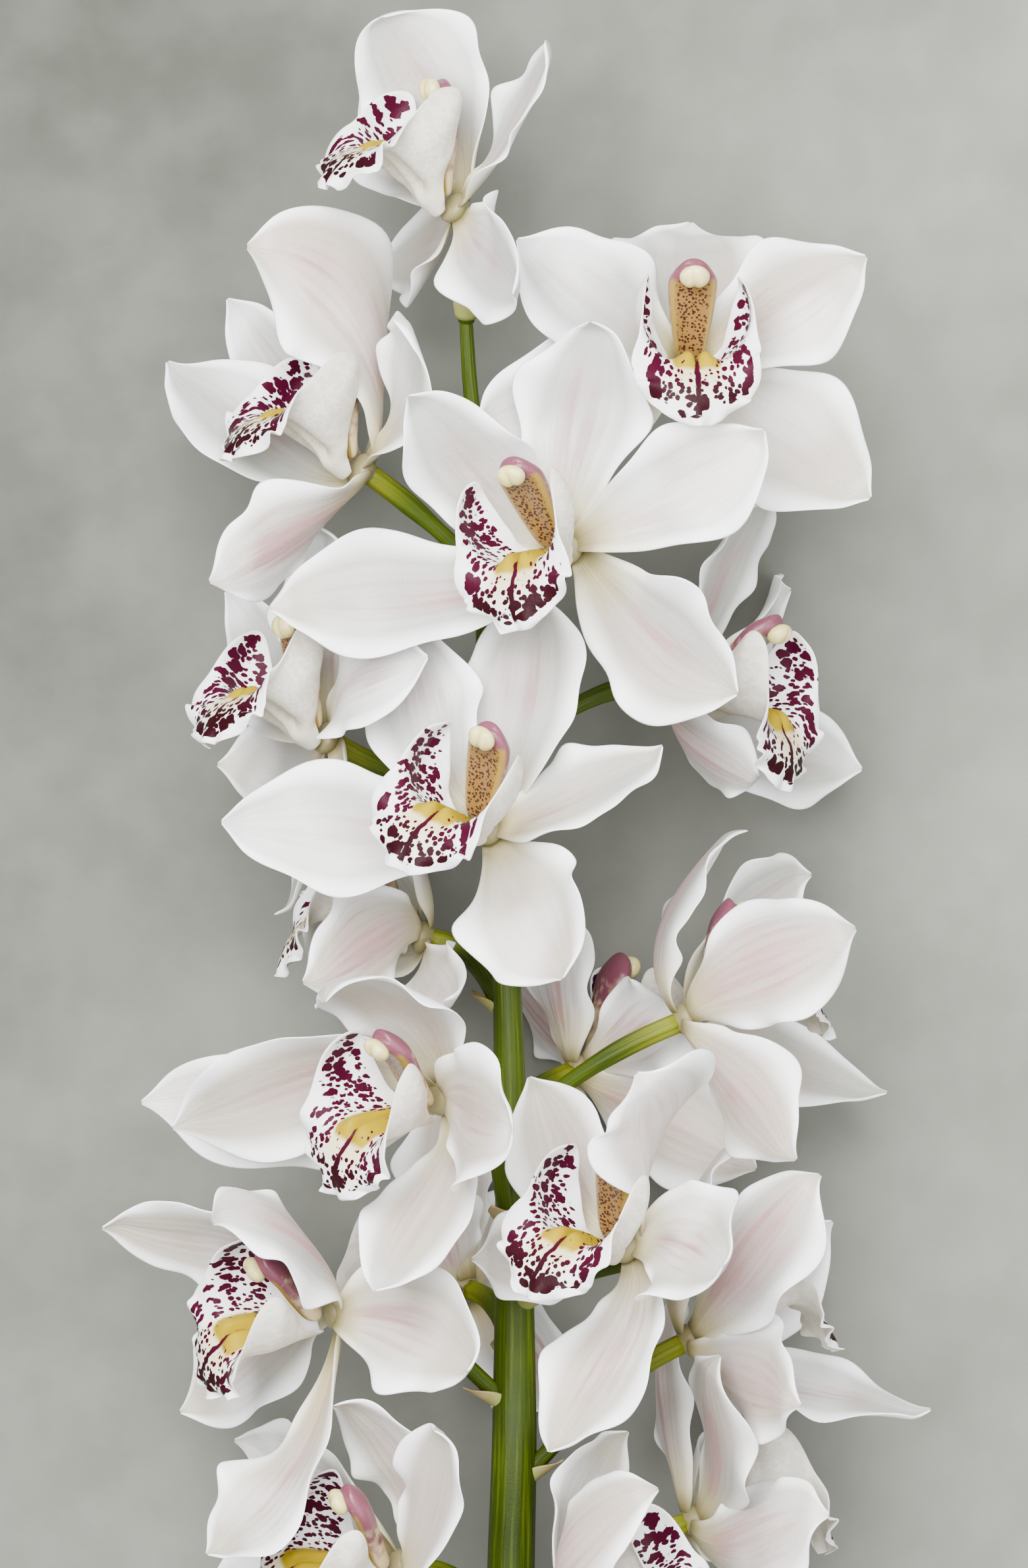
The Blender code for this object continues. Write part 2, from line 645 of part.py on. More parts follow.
def make_tepals(bloom, finish):
    """Five blades joined at the hub."""
    bm = bmesh.new()
    bmesh.ops.create_uvsphere(bm, u_segments=HUB_SIDES, v_segments=HUB_RINGS, radius=1)
    local = np.array([v.co for v in bm.verts]) * (HUB_R, HUB_R, HUB_HALF_DEPTH) + (0, 0, HUB_CENTRE)
    for v, point in zip(bm.verts, in_frame(bloom.place(local))):
        v.co = point
    hub = add_object("hub", bm, bpy.context.scene.collection)
    blades = gathered("blades")
    rows = 1 - (1 - np.linspace(0, 1, TEPAL_ROWS + 1)) ** 1.15
    for tepal in bloom.tepals:
        bm = sheet_mesh(tepal.points, rows, TEPAL_COLUMNS, TEPAL_THICKNESS)
        solidify(add_object(tepal.kind, bm, blades), TEPAL_THICKNESS)
    return fused(hub, blades, f"bloom_{bloom.name}_tepals", finish)


def make_lip(bloom, finish):
    bm = sheet_mesh(lambda c, r: lip_points(bloom, c, r), LIP_ROWS, LIP_COLUMNS, LIP_THICKNESS)
    obj = add_object(f"bloom_{bloom.name}_lip", bm, bpy.context.scene.collection, finish)
    solidify(obj, LIP_THICKNESS)


def make_column(bloom, finish):
    """The column: an arched bar, oval in section, that ends in a blunt hood over the anther."""
    line = np.array([(0, up, forward) for up, forward, _, _ in COLUMN], float)
    ways = directions(line)
    widths = np.array([w for _, _, w, _ in COLUMN])
    depths = np.array([d for _, _, _, d in COLUMN])
    right = np.zeros_like(line)
    right[:, 0] = widths
    deep = np.cross(ways, (1.0, 0, 0)) * depths[:, None]
    axes = np.array((bloom.right, bloom.up, bloom.forward))
    bm = tube(bloom.place(line), right @ axes, deep @ axes, COLUMN_SIDES)
    add_object(f"bloom_{bloom.name}_column", bm, bpy.context.scene.collection, finish)


def main():
    clear_scene()
    green = material("green_stalk", (0.16, 0.30, 0.02), 0.45)
    white = material("white_tepals", (0.86, 0.82, 0.81), 0.5)
    lip_white = material("lip", (0.88, 0.80, 0.80), 0.5)
    column_pink = material("column", (0.55, 0.30, 0.34), 0.45)
    blooms = [Bloom(name, spec) for name, spec in BLOOMS.items()]
    bend_clear(blooms)
    make_stem(blooms, green)
    for bloom in blooms:
        make_tepals(bloom, white)
        make_lip(bloom, lip_white)
        make_column(bloom, column_pink)


main()
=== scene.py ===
"""A cut stem of white cymbidium orchids, lying on a pale floor and seen from straight above.

Lengths in the sections are millimetres in the stalk's own frame: y = 0 is where the lowest bloom opens and
z = 0 is the height of the stalk's axis there. to_frame() turns them into the model's metres.
"""

import bisect
import math

import bpy
import numpy as np
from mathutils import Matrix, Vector


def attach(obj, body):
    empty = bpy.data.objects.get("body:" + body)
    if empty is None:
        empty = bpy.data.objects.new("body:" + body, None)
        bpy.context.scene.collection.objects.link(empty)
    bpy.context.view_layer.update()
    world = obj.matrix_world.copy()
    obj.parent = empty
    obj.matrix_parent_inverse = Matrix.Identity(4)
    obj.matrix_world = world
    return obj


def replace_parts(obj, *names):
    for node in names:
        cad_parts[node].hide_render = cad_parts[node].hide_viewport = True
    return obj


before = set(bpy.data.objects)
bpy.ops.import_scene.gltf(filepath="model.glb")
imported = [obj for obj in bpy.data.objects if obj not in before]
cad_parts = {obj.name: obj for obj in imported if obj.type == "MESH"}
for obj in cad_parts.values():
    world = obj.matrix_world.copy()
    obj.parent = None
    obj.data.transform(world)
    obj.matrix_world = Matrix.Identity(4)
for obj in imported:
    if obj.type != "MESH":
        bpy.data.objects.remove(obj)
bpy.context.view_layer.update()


# Floor, light and camera
# A sheet of pale grey paper under soft studio light from the upper left, with a weaker fill on the right.
# Its grey is mottled, and it is painted darker towards the upper left as painted shade.
# The camera looks straight down from far off, so that the lying stem fills the picture as a standing one.

MM = 0.001
TABLE_Z = -57.0
MIDDLE = (0.5, 77.0)
PHOTO_HEIGHT_MM = 357.0
CAMERA_HEIGHT = 2.6
LIT_PLANE = 0.06
SENSOR_HEIGHT = 24.0
PAPER_DARK = (0.037, 0.039, 0.029)
PAPER_LIGHT = (0.20, 0.205, 0.177)
CLOUD_SHARE = 0.18
BLOT_SHARE = 0.10
ROOM_COLOUR = (0.95, 0.975, 1.0, 1)
ROOM_LIGHT = 0.97


def new_material(name):
    """A node material: itself, its tree, its Principled shader and the place on the piece in metres."""
    made = bpy.data.materials.new(name)
    made.use_nodes = True
    nodes = made.node_tree.nodes
    return made, made.node_tree, nodes["Principled BSDF"], nodes.new("ShaderNodeTexCoord").outputs["Object"]


def node(tree, kind, *inputs, **settings):
    """Adds a node and feeds its inputs in order, by link or by value; None leaves one as it is."""
    made = tree.nodes.new("ShaderNode" + kind)
    for key, value in settings.items():
        setattr(made, key, value)
    for socket, value in zip(made.inputs, inputs):
        if isinstance(value, bpy.types.NodeSocket):
            tree.links.new(value, socket)
        elif value is not None:
            socket.default_value = value
    return made


def calc(tree, operation, *inputs):
    """What a Math node makes of its inputs."""
    return node(tree, "Math", *inputs, operation=operation).outputs[0]


def times(tree, first, *others):
    """The product of all the values."""
    for other in others:
        first = calc(tree, "MULTIPLY", first, other)
    return first


def plus(tree, first, *others):
    """The sum of all the values."""
    for other in others:
        first = calc(tree, "ADD", first, other)
    return first


def step(tree, value, low, high, start=0.0, end=1.0):
    """A soft step from start to end as value goes from low to high."""
    made = node(tree, "MapRange", value, low, high, start, end, interpolation_type="SMOOTHSTEP")
    return made.outputs[0]


def mixed(tree, share, one, two):
    """A mix of two colours, with this share of the second."""
    made = node(tree, "Mix", data_type="RGBA")
    for index, value in ((0, share), (6, one), (7, two)):
        if isinstance(value, bpy.types.NodeSocket):
            tree.links.new(value, made.inputs[index])
        else:
            made.inputs[index].default_value = value if index == 0 else (*value, 1)
    return made.outputs[2]


def noise(tree, where, scale, detail=2.0):
    """Soft random values, 0 to 1, with scale patches to a unit."""
    made = node(tree, "TexNoise", where)
    made.inputs["Scale"].default_value = scale
    made.inputs["Detail"].default_value = detail
    return made.outputs["Fac"]


def fine_grain():
    """The skin's fine grain, added to the slower relief of whatever material uses it."""
    group = bpy.data.node_groups.new("fine_grain", "ShaderNodeTree")
    for name in ("Grain Size", "Grain Share", "Relief"):
        group.interface.new_socket(name, in_out="INPUT", socket_type="NodeSocketFloat")
    group.interface.new_socket("Height", in_out="OUTPUT", socket_type="NodeSocketFloat")
    given = group.nodes.new("NodeGroupInput").outputs
    speck = node(group, "TexNoise", node(group, "TexCoord").outputs["Object"])
    group.links.new(calc(group, "DIVIDE", 1.0, given["Grain Size"]), speck.inputs["Scale"])
    height = plus(group, given["Relief"], times(group, speck.outputs["Fac"], given["Grain Share"]))
    group.links.new(height, group.nodes.new("NodeGroupOutput").inputs["Height"])
    return group


def grained(tree, size_mm, share, relief=0.0):
    """A relief with the fine grain on it, for a material's bump."""
    made = tree.nodes.new("ShaderNodeGroup")
    made.node_tree = grain
    made.inputs["Grain Size"].default_value = size_mm * MM
    made.inputs["Grain Share"].default_value = share
    if isinstance(relief, bpy.types.NodeSocket):
        tree.links.new(relief, made.inputs["Relief"])
    return made.outputs["Height"]


def coloured(tree, shader, colour, roughness):
    """Gives the shader its pattern of colours and its roughness."""
    tree.links.new(colour, shader.inputs["Base Color"])
    shader.inputs["Roughness"].default_value = roughness


def raised(tree, shader, height, depth_mm):
    """Feeds a height pattern, 0 to 1, to the shader as a bump of this depth."""
    bump = node(tree, "Bump")
    bump.inputs["Distance"].default_value = depth_mm * MM
    bump.inputs["Strength"].default_value = 1.0
    tree.links.new(height, bump.inputs["Height"])
    tree.links.new(bump.outputs["Normal"], shader.inputs["Normal"])


def lamp(name, power, size, place, target=(0.0, 0.1, 0.05)):
    """A round soft box that looks at the blooms."""
    bpy.ops.object.light_add(type="AREA", location=place)
    made = bpy.context.object
    made.name = name
    made.data.shape = "DISK"
    made.data.size = size
    made.data.energy = power
    made.rotation_euler = (Vector(target) - Vector(place)).to_track_quat("-Z", "Y").to_euler()


grain = fine_grain()
paper, tree, shader, place = new_material("grey_paper")
clouds = times(tree, step(tree, noise(tree, place, 17.0, 3.0), 0.34, 0.66), CLOUD_SHARE)
blots = times(tree, step(tree, noise(tree, place, 62.0, 5.0), 0.34, 0.68), BLOT_SHARE)
spot = node(tree, "SeparateXYZ", place)
# Painted shade: the paper is painted darker towards the upper left and lighter towards the lower right, a
# painted light falloff.
across_light = calc(tree, "SUBTRACT", spot.outputs["X"], times(tree, spot.outputs["Y"], 0.45))
painted_light_falloff = step(tree, across_light, -0.26, 0.04, 0.04, 0.60)
grey = mixed(tree, plus(tree, clouds, blots, painted_light_falloff), PAPER_DARK, PAPER_LIGHT)
coloured(tree, shader, grey, 0.9)
raised(tree, shader, grained(tree, 1.4, 1.0), 0.08)

bpy.ops.object.select_all(action="DESELECT")
bpy.ops.mesh.primitive_plane_add(size=8.0)
floor = bpy.context.object
floor.name = "floor"
floor.data.materials.append(paper)

lamp("key", power=168.0, size=1.7, place=(-0.35, 0.7, 1.8))
lamp("fill", power=27.0, size=1.8, place=(1.2, -0.2, 1.5))
room = bpy.data.worlds.new("soft_room")
room.use_nodes = True
room.node_tree.nodes["Background"].inputs["Color"].default_value = ROOM_COLOUR
room.node_tree.nodes["Background"].inputs["Strength"].default_value = ROOM_LIGHT
bpy.context.scene.world = room

bpy.ops.object.camera_add(location=(-MIDDLE[0] * MM, (PHOTO_HEIGHT_MM / 2 - MIDDLE[1]) * MM, CAMERA_HEIGHT))
camera = bpy.context.object
camera.rotation_euler = (0, 0, 0)
camera.data.clip_end = 20.0
camera.data.sensor_fit = "VERTICAL"
camera.data.sensor_height = SENSOR_HEIGHT
camera.data.lens = SENSOR_HEIGHT * (CAMERA_HEIGHT - LIT_PLANE) / (PHOTO_HEIGHT_MM * MM)
bpy.context.scene.camera = camera


# Stalk and pedicels
# The green flower stalk, cut straight at its foot, thins to its tip and bends a little at each bloom. Every
# bloom sits on its own short pedicel, whose thicker end is the ribbed ovary. All of it grew as one piece.

# Places on the stalk's axis, from its cut end to its tip, and its radius there.
STALK = (
    ((-6.0, -200.0, -51.8), 5.6),
    ((-5.5, -182.0, -51.8), 5.6),
    ((-4.0, -130.0, -38.0), 5.6),
    ((-2.0, -62.0, -16.0), 5.6),
    ((-0.7, 0.0, -2.0), 5.5),
    ((0.1, 34.0, 0.0), 5.1),
    ((0.1, 64.0, 0.0), 4.5),
    ((-0.8, 102.0, 0.0), 3.8),
    ((-1.6, 132.0, 0.0), 3.3),
    ((-3.5, 162.0, 0.0), 2.9),
    ((-6.1, 193.0, 0.0), 2.5),
    ((-6.8, 230.0, 0.0), 2.1),
    ((-8.3, 252.0, 0.0), 1.9),
    ((-10.3, 273.0, 0.0), 1.7),
    ((-11.3, 292.0, 1.0), 1.4),
)
PEDICEL_R = 1.9
OVARY_R = 2.5
HUB_HALF_DEPTH = 3.0
HUB_CENTRE = 1.5
GAP = 0.45
BAR_SIDES = 40
STALK_RINGS = 124
STALK_RIBS = 9
STALK_RIB_DEPTH = 0.035
PEDICEL_RINGS = 30
PEDICEL_RISE = 0.5
PEDICEL_HANDLES = (0.4, 0.35)
OVARY_RIBS = 6
OVARY_RIB_DEPTH = 0.12

# The blooms, from the tip down. at is where a bloom opens, face the way it looks as (yaw, pitch, roll), foot
# where its pedicel leaves the stalk, and each tepal is (tip, width, turn, curl).
BLOOMS = {
    "t": dict(
        at=(-12, 308, 8), face=(-58, 36, 0), foot=284,
        dorsal=((-31, 353, 14), 35, -30, 0.3), petal_r=((7, 345, 34), 28, 0, -0.2),
        petal_l=((-34, 338, -26), 27, 0, -0.2), sepal_r=((2, 288, 48), 30, -40, -0.2),
        sepal_l=((-42, 296, -38), 30, 0, -0.2),
    ),
    "e": dict(
        at=(39, 273, 20), face=(4, 4, 0), foot=248,
        dorsal=((40, 304, -4), 36, 0, -0.9), petal_r=((79, 297, 26), 30, 0, -0.3),
        petal_l=((0, 301, 26), 30, 0, -0.3), sepal_r=((80, 243, 22), 33, 0, -0.2),
        sepal_l=((-8, 254, 40), 32, 0, -0.2),
    ),
    "c": dict(
        at=(-33, 249, 5), face=(-62, 32, 0), foot=226,
        dorsal=((-62, 299, 21), 40, 90, 1.0), petal_r=((-26, 284, 40), 29, -30, 0.2),
        petal_l=((-65, 291, -32), 26, 0, 0.0), sepal_r=((-66, 224, 34), 27, -55, 0.0),
        sepal_l=((-79, 272, -20), 33, 0, 0.0),
    ),
    "d": dict(
        at=(13, 232, 28), face=(-28, -5, -8), foot=210,
        dorsal=((18, 283, 44), 33, 0, 0.3), petal_r=((58, 256, 52), 28, 0, -0.2),
        petal_l=((-24, 266, 46), 28, 0, -0.2), sepal_r=((51, 200, 44), 35, 0, -0.3),
        sepal_l=((-50, 217, 30), 30, 0, 0.0),
    ),
    "l": dict(
        at=(37, 200, 0), face=(62, -12, 0), foot=184,
        dorsal=((58, 244, 10), 30, 0, 0.3), petal_r=((62, 224, -60), 26, 0, -0.2),
        petal_l=((30, 222, -30), 26, 0, -0.2), sepal_r=((78, 182, -36), 28, 0, 0.0),
        sepal_l=((61, 173, 24), 24, 15, 0.1),
    ),
    "b": dict(
        at=(-41, 188, 6), face=(-54, 27, -6), foot=170,
        dorsal=((-45, 236, 6), 31, 0, 0.4), petal_r=((-24, 206, 42), 30, 0, -0.2),
        petal_l=((-65, 223, -30), 26, 0, -0.1), sepal_r=((-52, 148, 6), 29, -40, 0.0),
        sepal_l=((-68, 182, -40), 30, 0, 0.0),
    ),
    "a": dict(
        at=(-5, 168, 33), face=(-26, 12, 23), foot=138,
        dorsal=((8, 221, 22), 34, 0, -0.2), petal_r=((34, 185, 44), 27, 35, -0.3),
        petal_l=((-22, 214, 18), 28, 0, -0.1), sepal_r=((12, 135, 56), 35, -10, -0.3),
        sepal_l=((-66, 169, 26), 32, 0, 0.0),
    ),
    "k": dict(
        at=(-19, 143, -14), face=(-84, 14, 0), foot=126,
        dorsal=((-44, 184, -22), 28, 0, 0.3), petal_r=((-46, 133, 14), 27, 0, 0.0),
        petal_l=((-54, 168, -60), 26, 0, 0.0), sepal_r=((-14, 128, 24), 22, 30, 0.0),
        sepal_l=((-66, 152, -34), 28, 0, 0.0),
    ),
    "n": dict(
        at=(13, 112, -26), face=(125, 18, 0), foot=102,
        dorsal=((10, 158, -30), 29, 0, 0.2), petal_r=((-4, 134, -54), 26, 0, 0.0),
        petal_l=((42, 134, -2), 27, 0, 0.0), sepal_r=((14, 72, -54), 28, 0, 0.0),
        sepal_l=((55, 90, -16), 29, 40, 0.0),
    ),
    "r1": dict(
        at=(37, 124, 4), face=(100, 22, 0), foot=100,
        dorsal=((52, 170, 0), 27, 0, 0.3), petal_r=((64, 156, -36), 27, 0, 0.0),
        petal_l=((76, 146, 30), 32, 0, 0.1), sepal_r=((90, 106, -26), 28, 0, 0.0),
        sepal_l=((62, 94, 28), 29, 40, -0.2),
    ),
    "f": dict(
        at=(-15, 108, 28), face=(-50, -12, 22), foot=76,
        dorsal=((-44, 132, 54), 42, -15, 1.7), petal_r=((2, 102, 72), 34, 20, -0.3),
        petal_l=((-77, 102, 12), 34, 0, 0.0), sepal_r=((-30, 64, 50), 29, 38, 0.0),
        sepal_l=((-84, 106, -12), 30, 0, 0.0),
    ),
    "g": dict(
        at=(26, 74, 30), face=(-32, 10, 20), foot=59,
        dorsal=((22, 114, 64), 36, 110, 0.4), petal_r=((48, 70, 66), 33, 20, -0.3),
        petal_l=((5, 112, 20), 27, 0, 0.0), sepal_r=((9, 28, 50), 29, 10, 0.0),
        sepal_l=((-8, 70, 12), 25, 0, -0.5),
    ),
    "o": dict(
        at=(-10, 62, -24), face=(-140, 10, 0), foot=46,
        dorsal=((-16, 106, -34), 29, 0, 0.2), petal_r=((-24, 84, -16), 27, 0, 0.0),
        petal_l=((14, 84, -48), 26, 0, 0.0), sepal_r=((-26, 40, -12), 27, 0, 0.0),
        sepal_l=((10, 34, -52), 28, 0, 0.0),
    ),
    "h": dict(
        at=(-39, 59, 12), face=(-70, -8, 40), foot=36,
        dorsal=((-68, 82, 42), 38, 0, 1.6), petal_r=((-13, 41, 48), 33, 0, -0.2),
        petal_l=((-93, 79, 0), 27, -10, 0.0), sepal_r=((-67, 5, 30), 31, 45, 0.0),
        sepal_l=((-75, 34, -30), 29, 0, 0.0),
    ),
    "r2": dict(
        at=(38, 51, 4), face=(102, 25, 0), foot=18,
        dorsal=((50, 98, -6), 29, 0, 0.3), petal_r=((72, 78, -36), 27, 0, 0.0),
        petal_l=((68, 91, 26), 30, 0, 0.1), sepal_r=((94, 33, -12), 27, 0, 0.0),
        sepal_l=((61, 38, 34), 30, 40, -0.2),
    ),
    "r3": dict(
        at=(39, 9, -14), face=(108, 16, 0), foot=-12,
        dorsal=((42, 62, -28), 28, 0, 0.3), petal_r=((68, 42, -46), 26, 0, 0.0),
        petal_l=((44, 49, 22), 30, 0, 0.1), sepal_r=((86, 10, -34), 28, 0, 0.0),
        sepal_l=((69, 14, 24), 29, 40, 0.0),
    ),
    "i": dict(
        at=(-24, 1, 12), face=(-66, 5, 38), foot=-14,
        dorsal=((-38, 42, 24), 31, -20, 0.4), petal_r=((-14, 36, 48), 27, -30, 0.2),
        petal_l=((-62, 28, -32), 26, 0, 0.0), sepal_r=((-52, -42, 30), 29, 42, 0.0),
        sepal_l=((-74, -12, -24), 29, 0, 0.0),
    ),
    "r4": dict(
        at=(12, -10, 20), face=(62, 24, 0), foot=-30,
        dorsal=((24, 32, 4), 29, 0, 0.3), petal_r=((50, -20, -4), 27, 0, 0.0),
        petal_l=((34, 22, 52), 30, 0, 0.1), sepal_r=((48, -50, -6), 28, 0, 0.0),
        sepal_l=((34, -50, 54), 28, 0, 0.0),
    ),
}

INTO_HUB = 2.4
SIDE_GUIDE = np.array((0.31, 0.2, 0.93))
STALK_GREEN = (0.040, 0.068, 0.0)
STALK_PALE = (0.115, 0.152, 0.0)
STALK_DARK = (0.017, 0.031, 0.0)
OVARY_CREAM = (0.165, 0.18, 0.008)
CUT_PITH = (0.60, 0.66, 0.36)


def to_frame(points):
    """The stalk's millimetres as metres in the model's frame, with nothing below the floor."""
    points = np.asarray(points, float).copy()
    points[:, :2] -= MIDDLE
    points[:, 2] = np.maximum(points[:, 2] - TABLE_Z, 0)
    return points * MM


def unit(v):
    return v / np.linalg.norm(v)


def units(rows):
    return rows / np.linalg.norm(rows, axis=1)[:, None]


def square_to(v, axis):
    """The part of v at right angles to a unit axis, made a unit."""
    return unit(v - np.dot(v, axis) * axis)


def carried(side, ways):
    """A direction carried along a line without a twist: square to each of the line's ways in turn."""
    sides = [side]
    for way in ways:
        sides.append(square_to(sides[-1], way))
    return np.array(sides[1:])


def bezier(handles, t):
    """Points of a curve with four handles, where t is 0 to 1."""
    t = np.asarray(t, float)[:, None]
    p0, p1, p2, p3 = np.asarray(handles, float)
    return (1 - t) ** 3 * p0 + 3 * (1 - t) ** 2 * t * p1 + 3 * (1 - t) * t**2 * p2 + t**3 * p3


def smooth_curve(x, xs, ys):
    """A smooth curve through points, with no overshoot between them."""
    xs, ys = np.asarray(xs, float), np.asarray(ys, float)
    slopes = np.diff(ys) / np.diff(xs)
    both = slopes[1:] * slopes[:-1]
    inner = np.where(both > 0, 2 * both / np.where(both > 0, slopes[1:] + slopes[:-1], 1), 0)
    tangents = np.concatenate((slopes[:1], inner, slopes[-1:]))
    i = np.clip(np.searchsorted(xs, x) - 1, 0, len(xs) - 2)
    wide = xs[i + 1] - xs[i]
    t = (x - xs[i]) / wide
    rise = (ys[i + 1] - ys[i]) * t**2 * (3 - 2 * t)
    return ys[i] + rise + wide * t * (1 - t) * (tangents[i] * (1 - t) - tangents[i + 1] * t)


class Bloom:
    """Where a bloom opens and its own axes: right, up (dorsal) and forward."""

    def __init__(self, name, spec):
        yaw, pitch, roll = map(math.radians, spec["face"])
        self.name = name
        self.at = np.array(spec["at"], float)
        self.forward = np.array(
            (math.sin(yaw) * math.cos(pitch), math.sin(pitch), math.cos(yaw) * math.cos(pitch))
        )
        up = square_to(np.array((0.0, 1.0, 0.0)), self.forward)
        right = np.cross(up, self.forward)
        self.up = math.cos(roll) * up + math.sin(roll) * right
        self.right = np.cross(self.up, self.forward)
        self.foot = spec["foot"]

    def place(self, local):
        """Points given as (right, up, forward) of this bloom, in the stalk's frame."""
        right, up, forward = np.split(np.asarray(local, float), 3, axis=-1)
        return self.at + right * self.right + up * self.up + forward * self.forward


def stalk_at(y):
    """Centre and radius of the stalk at this y."""
    ys = [p[1] for p, _ in STALK]
    i = min(max(bisect.bisect(ys, y) - 1, 0), len(ys) - 2)
    share = (y - ys[i]) / (ys[i + 1] - ys[i])
    (p, r), (q, s) = STALK[i], STALK[i + 1]
    return np.array(p) + share * (np.array(q) - np.array(p)), r + share * (s - r)


def pedicel_route(bloom):
    """Handles of the pedicel, from inside the stalk to just behind the hub."""
    foot, _ = stalk_at(bloom.foot)
    end = bloom.at + (HUB_CENTRE - HUB_HALF_DEPTH - GAP) * bloom.forward
    out = end - foot
    reach = np.linalg.norm(out)
    leave = unit(unit(out) + np.array((0.0, PEDICEL_RISE, 0.0)) + 0.4 * unit(out * (1, 0, 1)))
    first, last = PEDICEL_HANDLES
    return np.array((foot, foot + first * reach * leave, end - last * reach * bloom.forward, end))


def set_points(mesh, points):
    """Moves a mesh's vertices to points of the stalk's frame."""
    mesh.vertices.foreach_set("co", to_frame(points).astype(np.float32).reshape(-1))
    mesh.update()


def mark(mesh, **marks):
    """Stores a number at each vertex under each name, for a material to read."""
    for name, values in marks.items():
        values = np.full(len(mesh.vertices), values, np.float32)
        mesh.attributes.new(name, "FLOAT", "POINT").data.foreach_set("value", values)


def new_sphere(segments, rings):
    """A round ball of radius 1 to be shaped, the only thing selected, and its points."""
    bpy.ops.object.select_all(action="DESELECT")
    bpy.ops.mesh.primitive_uv_sphere_add(segments=segments, ring_count=rings, radius=1.0)
    ball = bpy.context.object
    return ball, np.array([v.co for v in ball.data.vertices])


def round_bar(name, centres, radii, ribs, rib_depth, **marks):
    """A bar along a line, from a sphere drawn out to it. Ribs run along it, as deep as rib_depth's share."""
    rings = len(centres)
    bar, sphere = new_sphere(BAR_SIDES, rings + 1)
    bar.name = name
    row = np.rint(np.arccos(np.clip(-sphere[:, 2], -1, 1)) / math.pi * (rings + 1)).astype(int)
    pole = (row == 0) | (row == rings + 1)
    row = np.clip(row - 1, 0, rings - 1)
    angle = np.arctan2(sphere[:, 1], sphere[:, 0])
    ways = units(np.gradient(centres, axis=0))
    one = carried(SIDE_GUIDE, ways)
    two = np.cross(ways, one)
    wide = np.asarray(radii)[row] * (1 - np.asarray(rib_depth)[row] * (0.5 - 0.5 * np.cos(ribs * angle)))
    wide = np.where(pole, 0, wide)
    across = (wide * np.cos(angle))[:, None] * one[row] - (wide * np.sin(angle))[:, None] * two[row]
    set_points(bar.data, centres[row] + across)
    mark(bar.data, **{key: np.asarray(values)[row] for key, values in marks.items()}, round=angle, pith=pole)
    bpy.ops.object.shade_smooth()
    return bar


def joined(name, objects):
    """Joins objects into one piece."""
    bpy.ops.object.select_all(action="DESELECT")
    for obj in objects:
        obj.select_set(True)
    bpy.context.view_layer.objects.active = objects[0]
    bpy.ops.object.join()
    objects[0].name = name
    objects[0].data.name = name
    return objects[0]


def read(tree, name):
    """What mark stored, in a material."""
    return node(tree, "Attribute", attribute_name=name).outputs["Fac"]


def lit_through(shader, share, spread, depth_mm):
    """Lets light into plant tissue: how much of it, how far each colour goes, and how deep."""
    shader.inputs["Subsurface Weight"].default_value = share
    shader.inputs["Subsurface Radius"].default_value = spread
    shader.inputs["Subsurface Scale"].default_value = depth_mm * MM


blooms = [Bloom(name, spec) for name, spec in BLOOMS.items()]
knots = np.array([p for p, _ in STALK])
ys = np.linspace(knots[0, 1], knots[-1, 1], STALK_RINGS)
line = np.column_stack([smooth_curve(ys, knots[:, 1], column) for column in knots.T])
line[:, 1] = ys
even = np.ones(len(ys))
thick = np.array([stalk_at(y)[1] for y in ys])
bars = [round_bar("stalk", line, thick, STALK_RIBS, STALK_RIB_DEPTH * even, ovary=0 * even, length=ys)]
for bloom in blooms:
    t = np.linspace(0, 1, PEDICEL_RINGS)
    swell = np.clip(3 * t - 1.2, 0, 1)
    swell = swell**2 * (3 - 2 * swell)
    thick = PEDICEL_R + (OVARY_R - PEDICEL_R) * swell
    route = bezier(pedicel_route(bloom), t)
    route = np.vstack((route, route[-1] + INTO_HUB * bloom.forward))
    thick, swell, t = (np.append(row, row[-1]) for row in (thick, swell, t))
    ribs = OVARY_RIB_DEPTH * swell
    bars.append(round_bar("pedicel", route, thick, OVARY_RIBS, ribs, ovary=t**3, length=60 * t))
stem = joined("stalk_and_pedicels", bars)

waxy_green, tree, shader, place = new_material("waxy_green_stalk")
along_stem = node(tree, "CombineXYZ", times(tree, read(tree, "round"), 5.0))
tree.links.new(times(tree, read(tree, "length"), 0.03), along_stem.inputs["Y"])
streaks = noise(tree, along_stem.outputs[0], 1.0, 3.0)
green = mixed(tree, step(tree, noise(tree, place, 28.0, 3.0), 0.35, 0.7), STALK_GREEN, STALK_DARK)
green = mixed(tree, step(tree, streaks, 0.45, 0.75, 0.0, 0.55), green, STALK_PALE)
green = mixed(tree, step(tree, read(tree, "ovary"), 0.2, 1.0, 0.0, 0.8), green, OVARY_CREAM)
green = mixed(tree, step(tree, read(tree, "pith"), 0.02, 0.2), green, CUT_PITH)
coloured(tree, shader, green, 0.5)
shader.inputs["Specular IOR Level"].default_value = 0.2
lit_through(shader, 0.15, (0.6, 1.0, 0.2), 2.0)
raised(tree, shader, grained(tree, 0.55, 0.25, streaks), 0.25)
stem.data.materials.append(waxy_green)
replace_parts(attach(stem, "root"), "stem")


# Bracts
# Small dry scales that clasp the foot of each pedicel. They are thin as paper, straw brown at the tip and
# greenish where they grow from the stalk.

BRACT_LENGTH = 9.0
BRACT_HALF_TURN = math.radians(105.0)
BRACT_THICK = 0.35
BRACT_MESH = (12, 9)
BRACT_POINT = 0.85
BRACT_LOOSE = 0.5
BRACT_FLARE = 1.3
BRACT_GREEN = (0.24, 0.26, 0.06)
BRACT_STRAW = (0.35, 0.26, 0.12)
BRACT_BROWN = (0.25, 0.17, 0.08)


